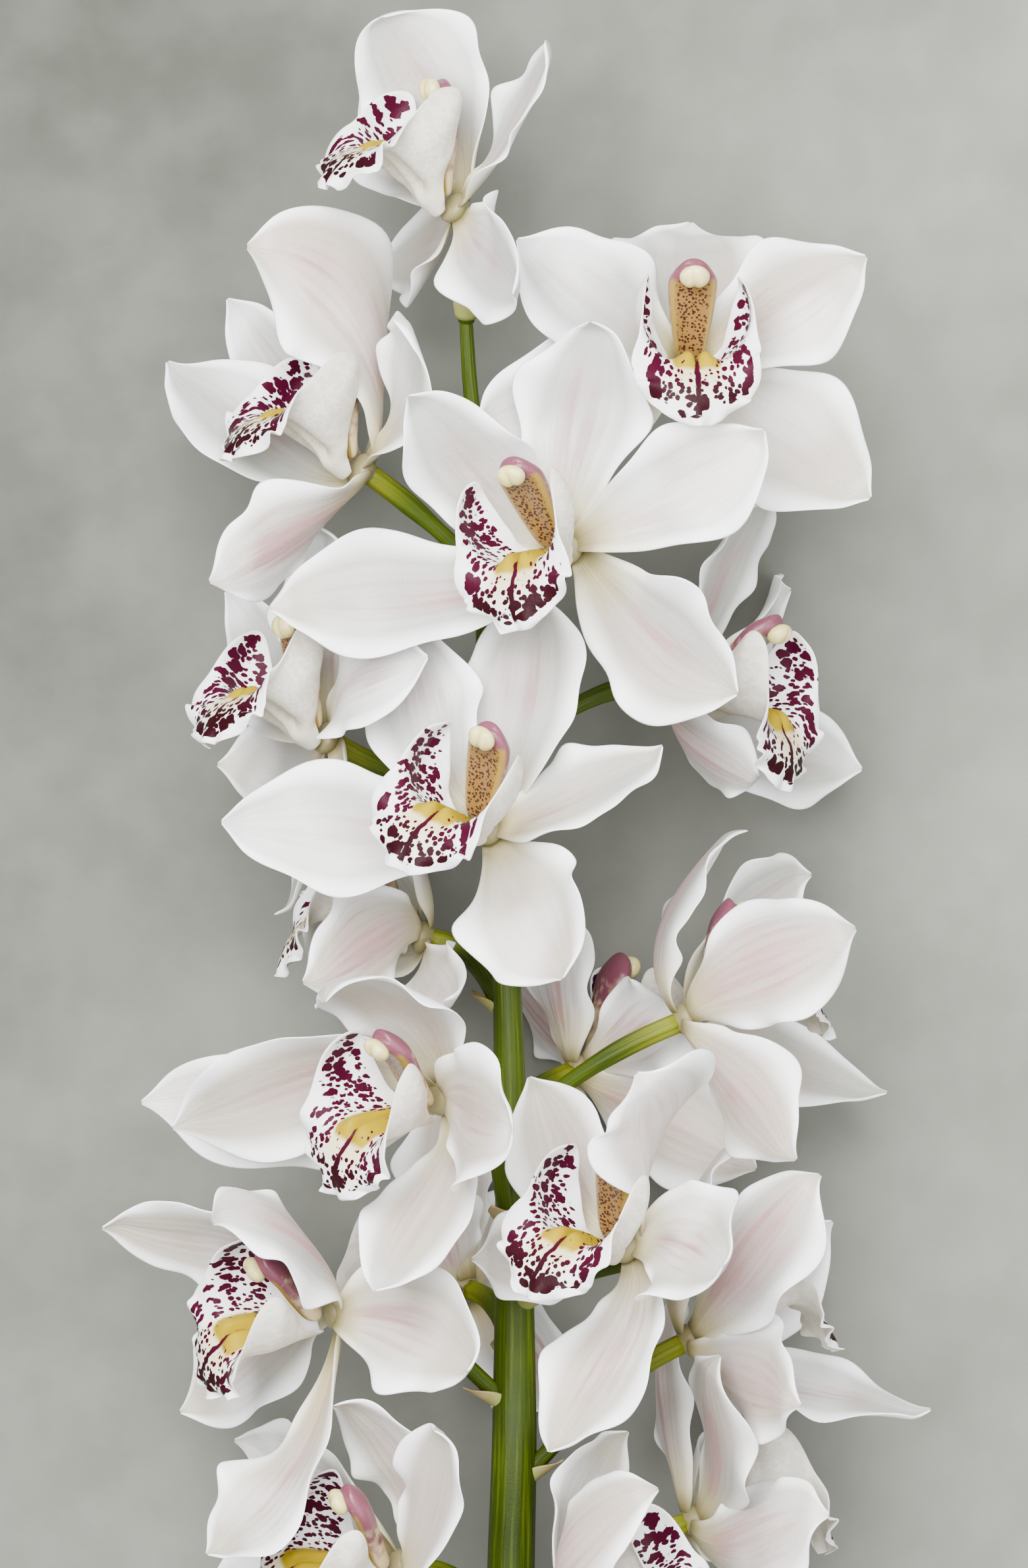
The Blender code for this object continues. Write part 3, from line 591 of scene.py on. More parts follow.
def new_grid(columns, rows):
    """A flat grid to be shaped, the only thing selected, and its points' places, each -1 to 1."""
    bpy.ops.object.select_all(action="DESELECT")
    bpy.ops.mesh.primitive_grid_add(x_subdivisions=columns, y_subdivisions=rows, size=2)
    grid = bpy.context.object
    return grid, *np.array([v.co[:2] for v in grid.data.vertices]).T


scales = []
for bloom in blooms:
    scale, across, along = new_grid(*BRACT_MESH)
    along = (along + 1) / 2
    centre, thick = stalk_at(bloom.foot)
    handles = pedicel_route(bloom)
    way = unit(handles[1] - handles[0])
    below = square_to(np.array((0.0, -1.0, 0.0)), way)
    beside = np.cross(way, below)
    turn = across * BRACT_HALF_TURN * (1 - BRACT_POINT * along**1.6)
    wide = PEDICEL_R + BRACT_LOOSE + BRACT_FLARE * along
    reach = 0.75 * thick + BRACT_LENGTH * along * (1 - 0.12 * across**2)
    points = centre + reach[:, None] * way
    points = points + (wide * np.cos(turn))[:, None] * below + (wide * np.sin(turn))[:, None] * beside
    set_points(scale.data, points)
    mark(scale.data, tipward=along)
    scales.append(scale)
bracts = joined("bracts", scales)
wall = bracts.modifiers.new("wall", "SOLIDIFY")
wall.thickness = BRACT_THICK * MM
wall.offset = 0.0
bpy.ops.object.modifier_apply(modifier="wall")
bpy.ops.object.shade_smooth()
papery, tree, shader, place = new_material("papery_bract")
fleck = noise(tree, place, 260.0, 3.0)
straw = mixed(tree, step(tree, read(tree, "tipward"), 0.15, 0.8), BRACT_GREEN, BRACT_STRAW)
straw = mixed(tree, step(tree, fleck, 0.45, 0.7, 0.0, 0.5), straw, BRACT_BROWN)
coloured(tree, shader, straw, 0.7)
raised(tree, shader, grained(tree, 0.5, 0.3, fleck), 0.15)
bracts.data.materials.append(papery)
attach(bracts, "root")


# Columns
# The column stands in the middle of each bloom, an arched, fleshy bar with a hood at its end. Its back is
# pink, deepest at the hood, and its hollow front is tan with fine dark speckles.

# How far up and out the column is from foot to tip, its half width and its half depth.
COLUMN = (
    (0.4, 6.0, 3.4, 2.4),
    (3.0, 9.0, 3.9, 2.7),
    (9.5, 13.5, 4.5, 2.9),
    (17.0, 18.5, 5.0, 3.0),
    (20.5, 22.5, 3.6, 2.4),
)
COLUMN_MESH = (44, 36)
HOLLOW_DEPTH = 0.55
HOOD_FROM = 0.8
HOOD_REACH = 1.5
HOOD_SPREAD = 0.22
WIDER_AHEAD = 0.18
COLUMN_PINK = (0.150, 0.040, 0.064)
COLUMN_CREAM = (0.58, 0.46, 0.27)
COLUMN_TAN = (0.20, 0.108, 0.024)
COLUMN_RIM = (0.28, 0.18, 0.03)
SPECKLE = (0.034, 0.005, 0.005)
SPECKLES_PER_METRE = 1300.0

fleshy, tree, shader, place = new_material("fleshy_column")
front = read(tree, "front")
tipward = read(tree, "tipward")
dots = node(tree, "TexVoronoi", place, feature="F1")
dots.inputs["Scale"].default_value = SPECKLES_PER_METRE
dots.inputs["Randomness"].default_value = 0.9
blush = step(tree, plus(tree, tipward, noise(tree, place, 350.0)), 0.75, 1.2)
blush = mixed(tree, blush, COLUMN_CREAM, COLUMN_PINK)
speckled = mixed(tree, step(tree, dots.outputs["Distance"], 0.36, 0.48, 1.0, 0.0), COLUMN_TAN, SPECKLE)
inner = mixed(tree, step(tree, front, 0.55, 0.8), COLUMN_RIM, speckled)
inside = times(tree, step(tree, front, 0.1, 0.4), step(tree, tipward, 0.78, 0.86, 1.0, 0.0))
coloured(tree, shader, mixed(tree, inside, blush, inner), 0.38)
lit_through(shader, 0.2, (1.0, 0.5, 0.4), 2.0)
raised(tree, shader, grained(tree, 1.1, 1.0), 0.12)

for bloom in blooms:
    column, sphere = new_sphere(*COLUMN_MESH)
    column.name = f"column_{bloom.name}"
    along = 0.5 - 0.5 * sphere[:, 2]
    full = np.sqrt(np.clip(1 - sphere[:, 2] ** 2, 0, 1)) ** 0.45
    angle = np.arctan2(-sphere[:, 1], sphere[:, 0])
    shape = np.array(COLUMN)
    at = np.linspace(0, 1, len(shape))
    up, out, wide, deep = (smooth_curve(along, at, shape[:, i]) for i in range(4))
    ahead, behind = np.minimum(along + 0.02, 1), np.maximum(along - 0.02, 0)
    rise, run = (smooth_curve(ahead, at, c) - smooth_curve(behind, at, c) for c in shape[:, :2].T)
    rise, run = rise / np.hypot(rise, run), run / np.hypot(rise, run)
    belly = np.clip(-np.sin(angle), 0, 1)
    hollow = 1 - HOLLOW_DEPTH * belly**3 * np.sin(math.pi * np.clip(along * 1.1, 0, 1)) ** 0.6
    back = full * deep * np.sin(angle) * hollow
    side = full * wide * np.cos(angle)
    hood = np.clip((along - HOOD_FROM) / (1 - HOOD_FROM), 0, 1) ** 2 * np.clip(np.sin(angle), 0, 1)
    hood = HOOD_REACH * hood * full
    up, out = up + hood, out + 0.6 * hood
    side = side * (1 + HOOD_SPREAD * hood / HOOD_REACH + WIDER_AHEAD * np.clip((along - 0.35) / 0.4, 0, 1))
    set_points(column.data, bloom.place(np.column_stack((side, up + back * run, out - back * rise))))
    mark(column.data, front=belly, tipward=along)
    bpy.ops.object.shade_smooth()
    column.data.materials.append(fleshy)
    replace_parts(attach(column, "root"), f"bloom_{bloom.name}_column")


# Anther caps
# The small cream cap at the column's end, with a groove down its middle. It covers the pollen and is held
# under the hood by a short hinge of tissue.

CAP_AT = (17.6, 23.2)
CAP_SIZE = (3.4, 2.9, 2.1)
CAP_TILT = math.radians(45.0)
CAP_CREAM = (0.62, 0.54, 0.20)
CAP_PALE = (0.82, 0.75, 0.42)
CAP_MESH = (32, 24)
CAP_GROOVE = 0.3
CAP_GROOVE_WIDTH = 0.2

waxy_cream, tree, shader, place = new_material("waxy_cream_cap")
cream = mixed(tree, step(tree, noise(tree, place, 500.0), 0.4, 0.75, 0.0, 0.6), CAP_CREAM, CAP_PALE)
coloured(tree, shader, cream, 0.35)
lit_through(shader, 0.25, (1.0, 0.8, 0.4), 2.0)
raised(tree, shader, grained(tree, 0.7, 1.0), 0.05)

for bloom in blooms:
    cap, ball = new_sphere(*CAP_MESH)
    cap.name = f"anther_cap_{bloom.name}"
    groove = np.exp(-((ball[:, 0] / CAP_GROOVE_WIDTH) ** 2)) * np.clip(ball[:, 2] + 0.3, 0, 1)
    ball = ball * (1 - CAP_GROOVE * groove)[:, None] * CAP_SIZE
    rise = ball[:, 1] * math.cos(CAP_TILT) - ball[:, 2] * math.sin(CAP_TILT)
    run = ball[:, 1] * math.sin(CAP_TILT) + ball[:, 2] * math.cos(CAP_TILT)
    set_points(cap.data, bloom.place(np.column_stack((ball[:, 0], CAP_AT[0] + rise, CAP_AT[1] + run))))
    bpy.ops.object.shade_smooth()
    cap.data.materials.append(waxy_cream)
    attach(cap, "root")


# Lips
# The lip is the lowest petal, a stiff scoop. Two side lobes stand up round the column, and the crisped
# midlobe droops in front. Two yellow ridges run along it, and wine-red spots lie inside its white margin.

# The midline's handles as (up, forward), and half width and roll at shares of its length.
LIP_MIDLINE = ((-4.4, 4.8), (-5.2, 20.0), (3.0, 34.0), (-17.0, 32.0))
LIP_AT = (0.0, 0.15, 0.3, 0.42, 0.5, 0.58, 0.7, 0.85, 0.95, 1.0)
LIP_HALF_WIDTH = (3.0, 9.0, 21.0, 30.0, 26.0, 16.0, 14.5, 12.5, 7.5, 3.0)
LIP_TURN = (75.0, 90.0, 118.0, 131.0, 116.0, 62.0, 8.0, -22.0, -30.0, -30.0)
RIDGE_AT = 2.5
RIDGE_WIDTH = 2.1
RIDGE_HEIGHT = 4.2
RIDGE_ENDS = (5.0, 25.0)
RIDGE_FADES = (5.0, 4.0)
SIDE_CRISP = 0.4
FRONT_CRISP = 1.3
FRILL = 0.6
FLATTEST = 0.02
SHEET_THICK = 0.9
LIP_MESH = (34, 40)
LIP_RIM_THICK = 0.45
LIP_RIM_WIDTH = 1.2
LIP_LOWEST = TABLE_Z + 0.6
CRISP_SHIFT = 1.7
SEED_SHIFT = 3.7
FAN_CENTRE = 7.0
BLOTCH_CELLS = (14.0, 3.3, 0.0)
FLECK_CELLS = (26.0, 1.5, 5.0)
SPOT_SIZE = 0.47
BARE_LOBE_FRONT = 1.2
STRIPE_WARP = 1.2
LIP_WHITE = (0.86, 0.85, 0.85)
LIP_BACK = (0.66, 0.62, 0.54)
WINE = (0.016, 0.0, 0.002)
MAGENTA = (0.038, 0.0, 0.010)
YELLOW = (0.31, 0.215, 0.0)
PALE_YELLOW = (0.56, 0.44, 0.04)


def lip_points(bloom, across, along, curve=np.interp, height=0.0):
    """The lip's plain form, as the model has it, or with a smoother curve and raised by a height."""
    middle = bezier(LIP_MIDLINE, along)
    ahead, behind = np.minimum(along + 0.01, 1), np.maximum(along - 0.01, 0)
    way = units(bezier(LIP_MIDLINE, ahead) - bezier(LIP_MIDLINE, behind))
    half = curve(along, LIP_AT, LIP_HALF_WIDTH)
    turn = np.radians(curve(along, LIP_AT, LIP_TURN))
    turn = np.where(np.abs(turn) < FLATTEST, FLATTEST, turn)
    angle = turn * across
    sideways = half * np.sin(angle) / turn - height * np.sin(angle)
    lifted = half * (1 - np.cos(angle)) / turn + height * np.cos(angle)
    up = middle[:, 0] + lifted * way[:, 1]
    forward = middle[:, 1] - lifted * way[:, 0]
    return bloom.place(np.column_stack((sideways, up, forward)))


def ridge_window(y):
    """1 along the two ridges and 0 beyond their ends."""
    (back, front), (rise, fall) = RIDGE_ENDS, RIDGE_FADES
    return np.clip((y - back) / rise, 0, 1) * np.clip((front - y) / fall, 0, 1)


def lip_relief(across, along, x, y, phase):
    """Height of the crisped margin and the ridges. x and y are a point's place on the lip laid flat."""
    edge = np.abs(across) ** 4
    front = np.clip((along - 0.55) / 0.12, 0, 1)
    ends = np.clip((along - 0.9) / 0.1, 0, 1)
    out = np.sin(0.95 * y + phase + 1.1 * np.sign(across)) + 0.5 * np.sin(1.7 * y + 2.1 * phase)
    frill = FRILL * front * np.abs(across) ** 8 * np.sin(2.6 * y + 3.3 * phase + np.sign(across))
    height = (SIDE_CRISP + FRONT_CRISP * front) * edge * out + frill + ends * np.sin(1.1 * x + phase)
    ridge = np.exp(-(((np.abs(x) - RIDGE_AT) / RIDGE_WIDTH) ** 2))
    window = ridge_window(y)
    return height + RIDGE_HEIGHT * ridge * window * (3 - 2 * window) * window


spotted, tree, shader, place = new_material("spotted_lip")
x, y, margin = read(tree, "across_mm"), read(tree, "along_mm"), read(tree, "margin_mm")
seed, outside = read(tree, "seed"), read(tree, "outside")
from_base = plus(tree, y, FAN_CENTRE)
warp = calc(tree, "SUBTRACT", noise(tree, place, 420.0, 2.0), 0.5)
fan = calc(tree, "ARCTAN2", x, from_base)
reach = calc(tree, "SQRT", plus(tree, times(tree, x, x), times(tree, from_base, from_base)))


def fanned_cells(turns, length, shift):
    """Distance to the nearest spot's middle: turns spots to a radian of the fan, each length mm long."""
    turned = plus(tree, times(tree, fan, turns), times(tree, warp, 1.1))
    out = plus(tree, calc(tree, "DIVIDE", reach, length), plus(tree, seed, shift))
    where = node(tree, "CombineXYZ", turned, out, seed)
    cells = node(tree, "TexVoronoi", where.outputs[0], feature="F1")
    cells.inputs["Scale"].default_value = 1.0
    cells.inputs["Randomness"].default_value = 0.85
    return cells.outputs["Distance"]


midlobe = step(tree, y, 24.0, 31.0)
away = calc(tree, "ABSOLUTE", x)
lobe_front = times(tree, step(tree, away, 14.0, 17.0), step(tree, y, 12.0, 15.0))
clear = plus(tree, margin, times(tree, lobe_front, BARE_LOBE_FRONT))
band = times(tree, step(tree, margin, 5.0, 8.5, 1.0, 0.0), step(tree, y, 6.0, 12.0))
size = times(tree, band, step(tree, clear, 0.9, 2.2), plus(tree, times(tree, midlobe, 0.09), SPOT_SIZE))
blotches = step(tree, calc(tree, "SUBTRACT", fanned_cells(*BLOTCH_CELLS), size), -0.03, 0.02, 1.0, 0.0)
band = times(tree, step(tree, margin, 8.0, 14.0, 1.0, 0.0), step(tree, y, 5.0, 9.0))
size = times(tree, band, step(tree, clear, 1.2, 3.2), SPOT_SIZE)
flecks = step(tree, calc(tree, "SUBTRACT", fanned_cells(*FLECK_CELLS), size), -0.04, 0.02, 1.0, 0.0)
line_x = calc(tree, "ABSOLUTE", plus(tree, x, times(tree, warp, STRIPE_WARP)))
stripe = times(tree, step(tree, line_x, 0.55, 0.8, 1.0, 0.0), step(tree, y, 17.0, 22.0))
stripe = times(tree, stripe, step(tree, margin, 1.6, 2.6))
spots = calc(tree, "MAXIMUM", calc(tree, "MAXIMUM", blotches, flecks), stripe)
spots = times(tree, spots, step(tree, outside, 0.3, 0.7, 1.0, 0.12))
halo = times(tree, step(tree, away, 3.5, 9.5, 1.0, 0.0), step(tree, y, 2.0, 7.0))
halo = times(tree, halo, step(tree, y, 24.0, 36.0, 1.0, 0.0), step(tree, outside, 0.3, 0.7, 0.65, 0.12))
crest = times(tree, step(tree, read(tree, "crest"), 0.15, 0.6), step(tree, outside, 0.3, 0.7, 1.0, 0.0))
skin = mixed(tree, outside, LIP_WHITE, LIP_BACK)
skin = mixed(tree, halo, skin, PALE_YELLOW)
skin = mixed(tree, crest, skin, YELLOW)
skin = mixed(tree, spots, skin, mixed(tree, midlobe, MAGENTA, WINE))
coloured(tree, shader, skin, 0.5)
shader.inputs["Specular IOR Level"].default_value = 0.1
raised(tree, shader, grained(tree, 0.7, 1.0), 0.08)

lip_pattern, lip_across, lip_along = new_grid(*LIP_MESH)
lip_along = (lip_along + 1) / 2
fine = np.linspace(0, 1, 200)
steps = np.linalg.norm(np.diff(bezier(LIP_MIDLINE, fine), axis=0), axis=1)
reach_mm = np.concatenate(([0], np.cumsum(steps)))
half_mm = smooth_curve(fine, LIP_AT, LIP_HALF_WIDTH)
lip_x = lip_across * smooth_curve(lip_along, LIP_AT, LIP_HALF_WIDTH)
lip_y = np.interp(lip_along, fine, reach_mm)
rim_x = np.concatenate((half_mm, -half_mm, np.linspace(-half_mm[-1], half_mm[-1], 20)))
rim_y = np.concatenate((reach_mm, reach_mm, np.full(20, reach_mm[-1])))
lip_margin = np.sqrt((lip_x[:, None] - rim_x) ** 2 + (lip_y[:, None] - rim_y) ** 2).min(axis=1)
lip_crest = np.clip(1.5 * ridge_window(lip_y), 0, 1) * np.clip((RIDGE_AT + 4 - np.abs(lip_x)) / 2, 0, 1)


def copied(pattern):
    """A copy of a pattern with a mesh of its own."""
    made = pattern.copy()
    made.data = pattern.data.copy()
    bpy.context.scene.collection.objects.link(made)
    return made


def two_sided(piece, rim_share, back_first):
    """Gives a sheet its thickness, thinner at its rim, marks its outer side, and smooths it."""
    count = len(piece.data.vertices)
    wall = piece.modifiers.new("wall", "SOLIDIFY")
    wall.thickness = SHEET_THICK * MM
    wall.offset = 0.0
    wall.use_even_offset = False
    wall.vertex_group = "rim"
    wall.thickness_vertex_group = rim_share
    bpy.ops.object.modifier_apply(modifier="wall")
    added = np.arange(len(piece.data.vertices)) >= count
    mark(piece.data, outside=added != back_first)
    soft = piece.modifiers.new("soft", "SUBSURF")
    soft.levels = 1
    soft.render_levels = 1
    bpy.ops.object.modifier_apply(modifier="soft")
    bpy.ops.object.shade_smooth()


def rim_group(obj, edge):
    """A vertex group that is 1 inside a sheet and 0 at its rim."""
    group = obj.vertex_groups.new(name="rim")
    for index, weight in enumerate(np.clip(1 - edge, 0, 1)):
        group.add([index], float(weight), "REPLACE")


for number, bloom in enumerate(blooms):
    bpy.ops.object.select_all(action="DESELECT")
    lip = copied(lip_pattern)
    lip.select_set(True)
    bpy.context.view_layer.objects.active = lip
    lip.name = f"lip_{bloom.name}"
    relief = lip_relief(lip_across, lip_along, lip_x, lip_y, CRISP_SHIFT * number)
    points = lip_points(bloom, lip_across, lip_along, smooth_curve, relief)
    points[:, 2] = np.maximum(points[:, 2], LIP_LOWEST)
    set_points(lip.data, points)
    mark(lip.data, across_mm=lip_x, along_mm=lip_y, margin_mm=lip_margin, crest=lip_crest)
    mark(lip.data, seed=SEED_SHIFT * number)
    rim_group(lip, np.exp(-lip_margin / LIP_RIM_WIDTH))
    two_sided(lip, LIP_RIM_THICK, True)
    lip.data.materials.append(spotted)
    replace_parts(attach(lip, "root"), f"bloom_{bloom.name}_lip")
bpy.data.objects.remove(lip_pattern)


# Sepals and petals
# Five white tepals open round each lip: a hooded dorsal sepal, two petals and two lateral sepals. They grow
# from one hub on the ovary, are thick and waxy, and lean past each other where the blooms crowd.

# Where round the hub a tepal starts and its lean forward, in degrees, and how far ahead it sits.
START = {
    "dorsal": (0.0, 12.0, 0.4),
    "petal_r": (62.0, 22.0, 2.6),
    "petal_l": (-62.0, 22.0, 2.6),
    "sepal_r": (126.0, 8.0, 0.4),
    "sepal_l": (-126.0, 8.0, 0.4),
}
HUB_MESH = (28, 16)
HUB_R = 5.0
HUB_TAPER = 0.28
ROOT_R = 2.0
HANDLE = 0.36
BASE_SHARE = 0.18
WIDEST_AT = 0.58
TIP_SHARE = 0.07
BLADE_MESH = (12, 26)
RIM_THICK = 0.4
TROUGH = (0.55, 0.25)
NIB_FROM = 0.925
NIB_PINCH = 0.6
NIB_LIFT = 2.8
OUTLINE_WAVE = 0.085
RIPPLE = 1.8
FINE_RIPPLE = 0.6
FURROW = 0.45
FURROW_WIDTH = 0.1
FRAMES = 24
FINE_FRAMES = 96
WAVES = 1.25
WAVE_HEIGHT = 1.6
CLEARANCE = 2.3
COLUMN_CLEAR_R = 4.0
NEAR = 5.0
SIDE_RANGE = 16.0
MOST_PUSH = 1.5
PUSH_SHARE = 0.6
ROUNDS = 40
SAMPLE_ROWS = 12
SAMPLE_COLUMNS = 7
FIRST_SAMPLE = 0.2
SAME_FROM = 0.2
TEPAL_LOWEST = TABLE_Z + 0.7
TOP_Z = 72.2
# Painted shade and highlight: the tepals' warm and cool white is painted grey in their middles, and their
# rims are painted bright white.
WARM_SHADED_WHITE = (0.45, 0.41, 0.34)
COOL_SHADED_WHITE = (0.40, 0.415, 0.385)
RIM_HIGHLIGHT_WHITE = (0.95, 0.96, 0.955)
VEIN_PINK = (0.36, 0.20, 0.205)
BACK_PINK = (0.52, 0.40, 0.365)
BASE_CREAM = (0.46, 0.37, 0.11)
BASE_BROWN = (0.10, 0.08, 0.009)
VEINS = 11.0


class Tepal:
    """One sepal or petal: a blade round a midrib with four handles."""

    def __init__(self, bloom, kind, tip, width, turn, curl):
        angle, lean = map(math.radians, START[kind][:2])
        self.width = width
        self.turn = math.radians(turn)
        self.phase = 0.7 * sum(map(ord, bloom.name + kind))
        out = math.sin(angle) * bloom.right + math.cos(angle) * bloom.up
        start = math.cos(lean) * out + math.sin(lean) * bloom.forward
        base = bloom.at + START[kind][2] * bloom.forward + ROOT_R * out
        tip = np.array(tip, float)
        reach = np.linalg.norm(tip - base)
        face = square_to(bloom.forward, unit(tip - base))
        end = unit(unit(tip - base) + curl * face)
        self.first_face = square_to(bloom.forward, start)
        self.handles = np.array((base, base + HANDLE * reach * start, tip - HANDLE * reach * end, tip))

    def points(self, across, along, frames=FRAMES, detail=0.0):
        """Points of the blade's middle surface, across from -1 to 1 and along from 0 to 1."""
        t = np.linspace(0, 1, frames + 1)
        places = bezier(self.handles, t)
        ways = units(np.gradient(places, axis=0))
        faces = np.vstack((self.first_face, carried(self.first_face, ways[1:])))
        sides = np.cross(ways, faces)
        turn = (self.turn * (1 - (1 - t) ** 2))[:, None]
        sides, faces = (
            np.cos(turn) * sides + np.sin(turn) * faces,
            np.cos(turn) * faces - np.sin(turn) * sides,
        )
        place, side, face = (
            np.column_stack([np.interp(along, t, column) for column in part.T])
            for part in (places, sides, faces)
        )
        edge = np.abs(across)
        side_of = np.sign(across)
        nib = detail * np.clip((along - NIB_FROM) / (1 - NIB_FROM), 0, 1) ** 1.6
        half = 0.5 * self.width * blade_width(along) * (1 - NIB_PINCH * nib)
        half = half * (1 + OUTLINE_WAVE * detail * np.sin(13 * along + self.phase * side_of) * edge**3)
        bend = TROUGH[0] - TROUGH[1] * along
        sideways = half * np.sin(bend * across) / bend
        forward = half * (1 - np.cos(bend * across)) / bend
        wave = np.sin(2 * math.pi * WAVES * along + self.phase + 1.3 * side_of)
        forward = forward + WAVE_HEIGHT * wave * edge**3 * np.sin(math.pi * along) ** 0.7
        ends = np.sin(math.pi * np.clip(along, 0, 1)) ** 0.5
        ripple = RIPPLE * np.sin(15 * along + 2 * self.phase + 2 * side_of) * edge**3.5
        ripple = ripple + FINE_RIPPLE * np.sin(29 * along + self.phase) * edge**6
        furrow = FURROW * np.exp(-((across / FURROW_WIDTH) ** 2))
        forward = forward + detail * (ripple - furrow) * ends + NIB_LIFT * nib
        return place + sideways[:, None] * side + forward[:, None] * face


def blade_width(along):
    """Share of the full width: a narrow base, widest past the middle, and a short point."""
    grow = np.clip(along / WIDEST_AT, 0, 1)
    grow = BASE_SHARE + (1 - BASE_SHARE) * np.sin(0.5 * math.pi * grow) ** 1.3
    past = np.clip((along - WIDEST_AT) / (1 - WIDEST_AT), 0, 1)
    return grow * (TIP_SHARE + (1 - TIP_SHARE) * (1 - past**1.8) ** 0.85)


class Sheet:
    """Sampled points and normals of one blade, lip, column or stalk, for keeping blades apart."""

    def __init__(self, owner, tepal, points, normals, along, tube=False):
        self.owner = owner
        self.tepal = tepal
        self.points = points
        self.normals = normals
        self.along = along
        self.tube = tube


def sampled(surface, owner, tepal):
    """A sheet of points of a surface, with normals by differences."""
    along = np.linspace(FIRST_SAMPLE if tepal else 0.1, 1, SAMPLE_ROWS)
    across = np.linspace(-1, 1, SAMPLE_COLUMNS)
    rows, columns = (a.reshape(-1) for a in np.meshgrid(along, across, indexing="ij"))
    grid = surface(columns, rows).reshape(SAMPLE_ROWS, SAMPLE_COLUMNS, 3)
    normals = np.cross(np.gradient(grid, axis=1), np.gradient(grid, axis=0)).reshape(-1, 3)
    normals /= np.maximum(np.linalg.norm(normals, axis=1), 1e-9)[:, None]
    return Sheet(owner, tepal, grid.reshape(-1, 3), normals, rows)


def tube_samples(route, radius, owner):
    """Points round a tube, with normals that point out."""
    t = np.linspace(0.1, 0.95, 9)
    centre = bezier(route, t)
    way = unit(route[3] - route[0])
    one = square_to(SIDE_GUIDE, way)
    two = np.cross(way, one)
    normals = [math.cos(a) * one + math.sin(a) * two for a in np.linspace(0, 2 * math.pi, 6, endpoint=False)]
    points = np.concatenate([centre + radius * n for n in normals])
    normals = np.repeat(normals, len(t), axis=0)
    return Sheet(owner, None, points, normals, np.zeros(len(points)), tube=True)


def still_sheets(blooms):
    """What blades keep clear of: lips, columns, pedicels and the stalk."""
    sheets = []
    for bloom in blooms:
        sheets.append(sampled(lambda c, r, b=bloom: lip_points(b, c, r), bloom, None))
        (y0, z0), (y3, z3) = COLUMN[0][:2], COLUMN[-1][:2]
        line = bloom.place([(0, y0, z0), (0, y0 + 7, z0 + 2), (0, y3 - 4, z3 - 7), (0, y3, z3)])
        sheets.append(tube_samples(line, COLUMN_CLEAR_R, bloom))
        sheets.append(tube_samples(pedicel_route(bloom), OVARY_R, bloom))
    for lower, upper in zip(STALK[3:-1], STALK[4:]):
        one, two = np.array((lower[0], upper[0]))
        route = np.array((one, one * 0.67 + two * 0.33, one * 0.33 + two * 0.67, two))
        sheets.append(tube_samples(route, lower[1], None))
    return sheets


def push(tepal, along, way, amount):
    """Moves a midrib's outer handles so that the blade shifts by amount along way at this place."""
    weights = np.array((3 * (1 - along) ** 2 * along, 3 * (1 - along) * along**2, along**3))
    weights[0] *= 0.5
    tepal.handles[1:] += amount * np.outer(weights / np.dot(weights, weights), way)


def bend_clear(blooms, blades):
    """Bends blades that cross or nearly touch, each pair kept on the sides where most of it already lies."""
    still = still_sheets(blooms)
    tepals = [(bloom, tepal) for bloom in blooms for tepal in blades[bloom.name]]
    sides = {}
    for _ in range(ROUNDS):
        moving = [sampled(tepal.points, bloom, tepal) for bloom, tepal in tepals]
        moves = {}
        for i, one in enumerate(moving):
            low, high = one.points.min(axis=0) - CLEARANCE, one.points.max(axis=0) + CLEARANCE
            for j, other in enumerate(moving[i + 1 :] + still):
                if (other.points.max(axis=0) < low).any() or (other.points.min(axis=0) > high).any():
                    continue
                meeting(one, other, (i, j), sides, moves)
        for _, tepal in tepals:
            for along, way, amount in moves.get(id(tepal), ()):
                push(tepal, along, way, amount)
        if not moves:
            return


def meeting(one, other, key, sides, moves):
    """Notes the moves that part two sheets, each by its worst point. Blades stay outside a tube."""
    away = one.points[:, None, :] - other.points[None, :, :]
    nearest = np.argmin((away**2).sum(axis=2), axis=1)
    away = away[np.arange(len(away)), nearest]
    normals = other.normals[nearest]
    height = (away * normals).sum(axis=1)
    beside = np.linalg.norm(away - height[:, None] * normals, axis=1)
    facing = beside < NEAR
    if one.owner is other.owner:
        facing &= (one.along > SAME_FROM) & (other.along[nearest] > (SAME_FROM if other.tepal else -1))
    if not facing.any():
        return
    if key not in sides:
        close = facing & (np.abs(height) < SIDE_RANGE)
        if not close.any():
            return
        total = np.tanh(height[close] / 4).sum()
        sides[key] = 1.0 if other.tube else math.copysign(1.0, total)
    side = sides[key]
    short = np.where(facing, CLEARANCE - side * height, -1)
    short[np.abs(height) > SIDE_RANGE] = -1
    worst = int(np.argmax(short))
    if short[worst] <= 0:
        return
    way = side * normals[worst]
    amount = PUSH_SHARE * (0.5 if other.tepal else 1.0) * min(short[worst], MOST_PUSH)
    moves.setdefault(id(one.tepal), []).append((one.along[worst], way, amount))
    if other.tepal:
        moves.setdefault(id(other.tepal), []).append((other.along[nearest[worst]], -way, amount))


blades = {bloom.name: [Tepal(bloom, kind, *BLOOMS[bloom.name][kind]) for kind in START] for bloom in blooms}
bend_clear(blooms, blades)

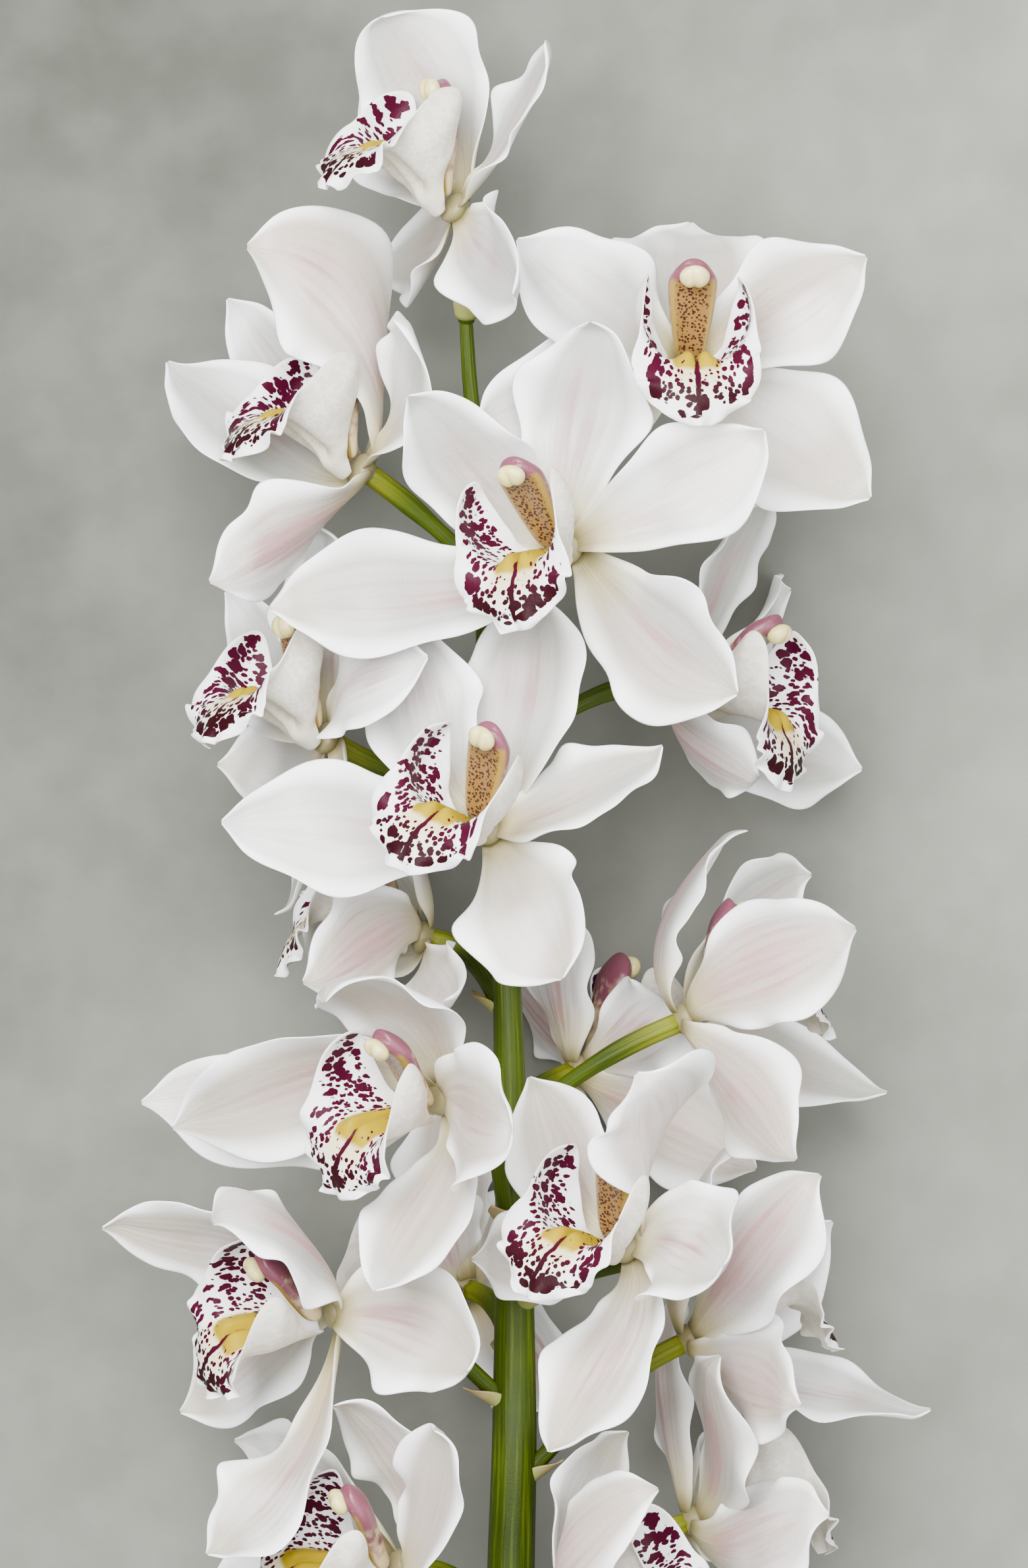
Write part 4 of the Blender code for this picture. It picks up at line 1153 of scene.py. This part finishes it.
satin_white, tree, shader, place = new_material("satin_white_tepals")
across, along, outside = read(tree, "across"), read(tree, "along"), read(tree, "outside")
seed = read(tree, "seed")
drift = times(tree, calc(tree, "SUBTRACT", noise(tree, place, 45.0), 0.5), 0.10)
lines = calc(tree, "COSINE", times(tree, plus(tree, across, drift), math.pi * VEINS))
veins = step(tree, lines, 0.35, 1.0)
from_rib = calc(tree, "ABSOLUTE", across)
inner = step(tree, from_rib, 0.15, 0.95, 1.0, 0.0)
rib = step(tree, from_rib, 0.05, 0.5, 1.0, 0.0)
streak_at = node(tree, "CombineXYZ", times(tree, across, 6.5), times(tree, along, 1.5), seed)
streaks = step(tree, noise(tree, streak_at.outputs[0], 1.0, 3.0), 0.44, 0.66)
patch = step(tree, noise(tree, place, 34.0, 2.0), 0.35, 0.65)
fade = times(tree, step(tree, along, 0.06, 0.3), step(tree, along, 0.6, 0.98, 1.0, 0.0))
lined = plus(tree, times(tree, streaks, 0.55), times(tree, veins, 0.18))
pink = plus(tree, times(tree, rib, 0.42), times(tree, lined, inner))
pink = times(tree, pink, fade, plus(tree, times(tree, patch, 0.8), 0.35))
pink = times(tree, pink, plus(tree, times(tree, outside, 0.9), 0.7))
# Painted highlight: the outer half of each blade, towards the edge, is painted bright white, joined by
# random pale patches. The rest of the blade is painted grey-white as painted shade.
pale_patches_and_rim_highlight = step(tree, noise(tree, place, 26.0), 0.46, 0.66, 0.0, 0.45)
pale_patches_and_rim_highlight = calc(tree, "MAXIMUM", step(tree, from_rib, 0.5, 0.96), pale_patches_and_rim_highlight)
cool = step(tree, noise(tree, place, 15.0, 1.0), 0.42, 0.60)
skin = mixed(tree, pale_patches_and_rim_highlight, mixed(tree, cool, WARM_SHADED_WHITE, COOL_SHADED_WHITE), RIM_HIGHLIGHT_WHITE)
skin = mixed(tree, pink, skin, VEIN_PINK)
skin = mixed(tree, times(tree, outside, inner, 0.24), skin, BACK_PINK)
skin = mixed(tree, step(tree, along, 0.02, 0.38, 0.72, 0.0), skin, BASE_CREAM)
skin = mixed(tree, step(tree, along, 0.0, 0.13, 0.9, 0.0), skin, BASE_BROWN)
coloured(tree, shader, skin, 0.48)
lit_through(shader, 0.2, (1.0, 0.8, 0.75), 1.5)
shader.inputs["Sheen Weight"].default_value = 0.05
raised(tree, shader, grained(tree, 0.67, 1.0, times(tree, lines, inner, 0.18)), 0.10)

blade_pattern, blade_across, blade_along = new_grid(*BLADE_MESH)
blade_along = 1 - ((1 - blade_along) / 2) ** 1.25
rim_group(blade_pattern, np.maximum(np.abs(blade_across) ** 8, blade_along**24))

for bloom in blooms:
    parts = []
    for tepal in blades[bloom.name]:
        blade = copied(blade_pattern)
        points = tepal.points(blade_across, blade_along, FINE_FRAMES, 1.0)
        points[:, 2] = np.clip(points[:, 2], TEPAL_LOWEST, TOP_Z)
        set_points(blade.data, points)
        mark(blade.data, across=blade_across, along=blade_along, seed=tepal.phase % 50)
        parts.append(blade)
    tepals = joined(f"tepals_{bloom.name}", parts)
    two_sided(tepals, RIM_THICK, False)
    hub, ball = new_sphere(*HUB_MESH)
    ball[:, :2] *= (1 - HUB_TAPER + HUB_TAPER * ball[:, 2:]) * HUB_R
    ball[:, 2] = ball[:, 2] * HUB_HALF_DEPTH + HUB_CENTRE
    set_points(hub.data, bloom.place(ball))
    mark(hub.data, across=1, along=0.02, outside=1, seed=0)
    bpy.ops.object.shade_smooth()
    tepals = joined(f"tepals_{bloom.name}", [tepals, hub])
    tepals.data.materials.clear()
    tepals.data.materials.append(satin_white)
    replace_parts(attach(tepals, "root"), f"bloom_{bloom.name}_tepals")
bpy.data.objects.remove(blade_pattern)
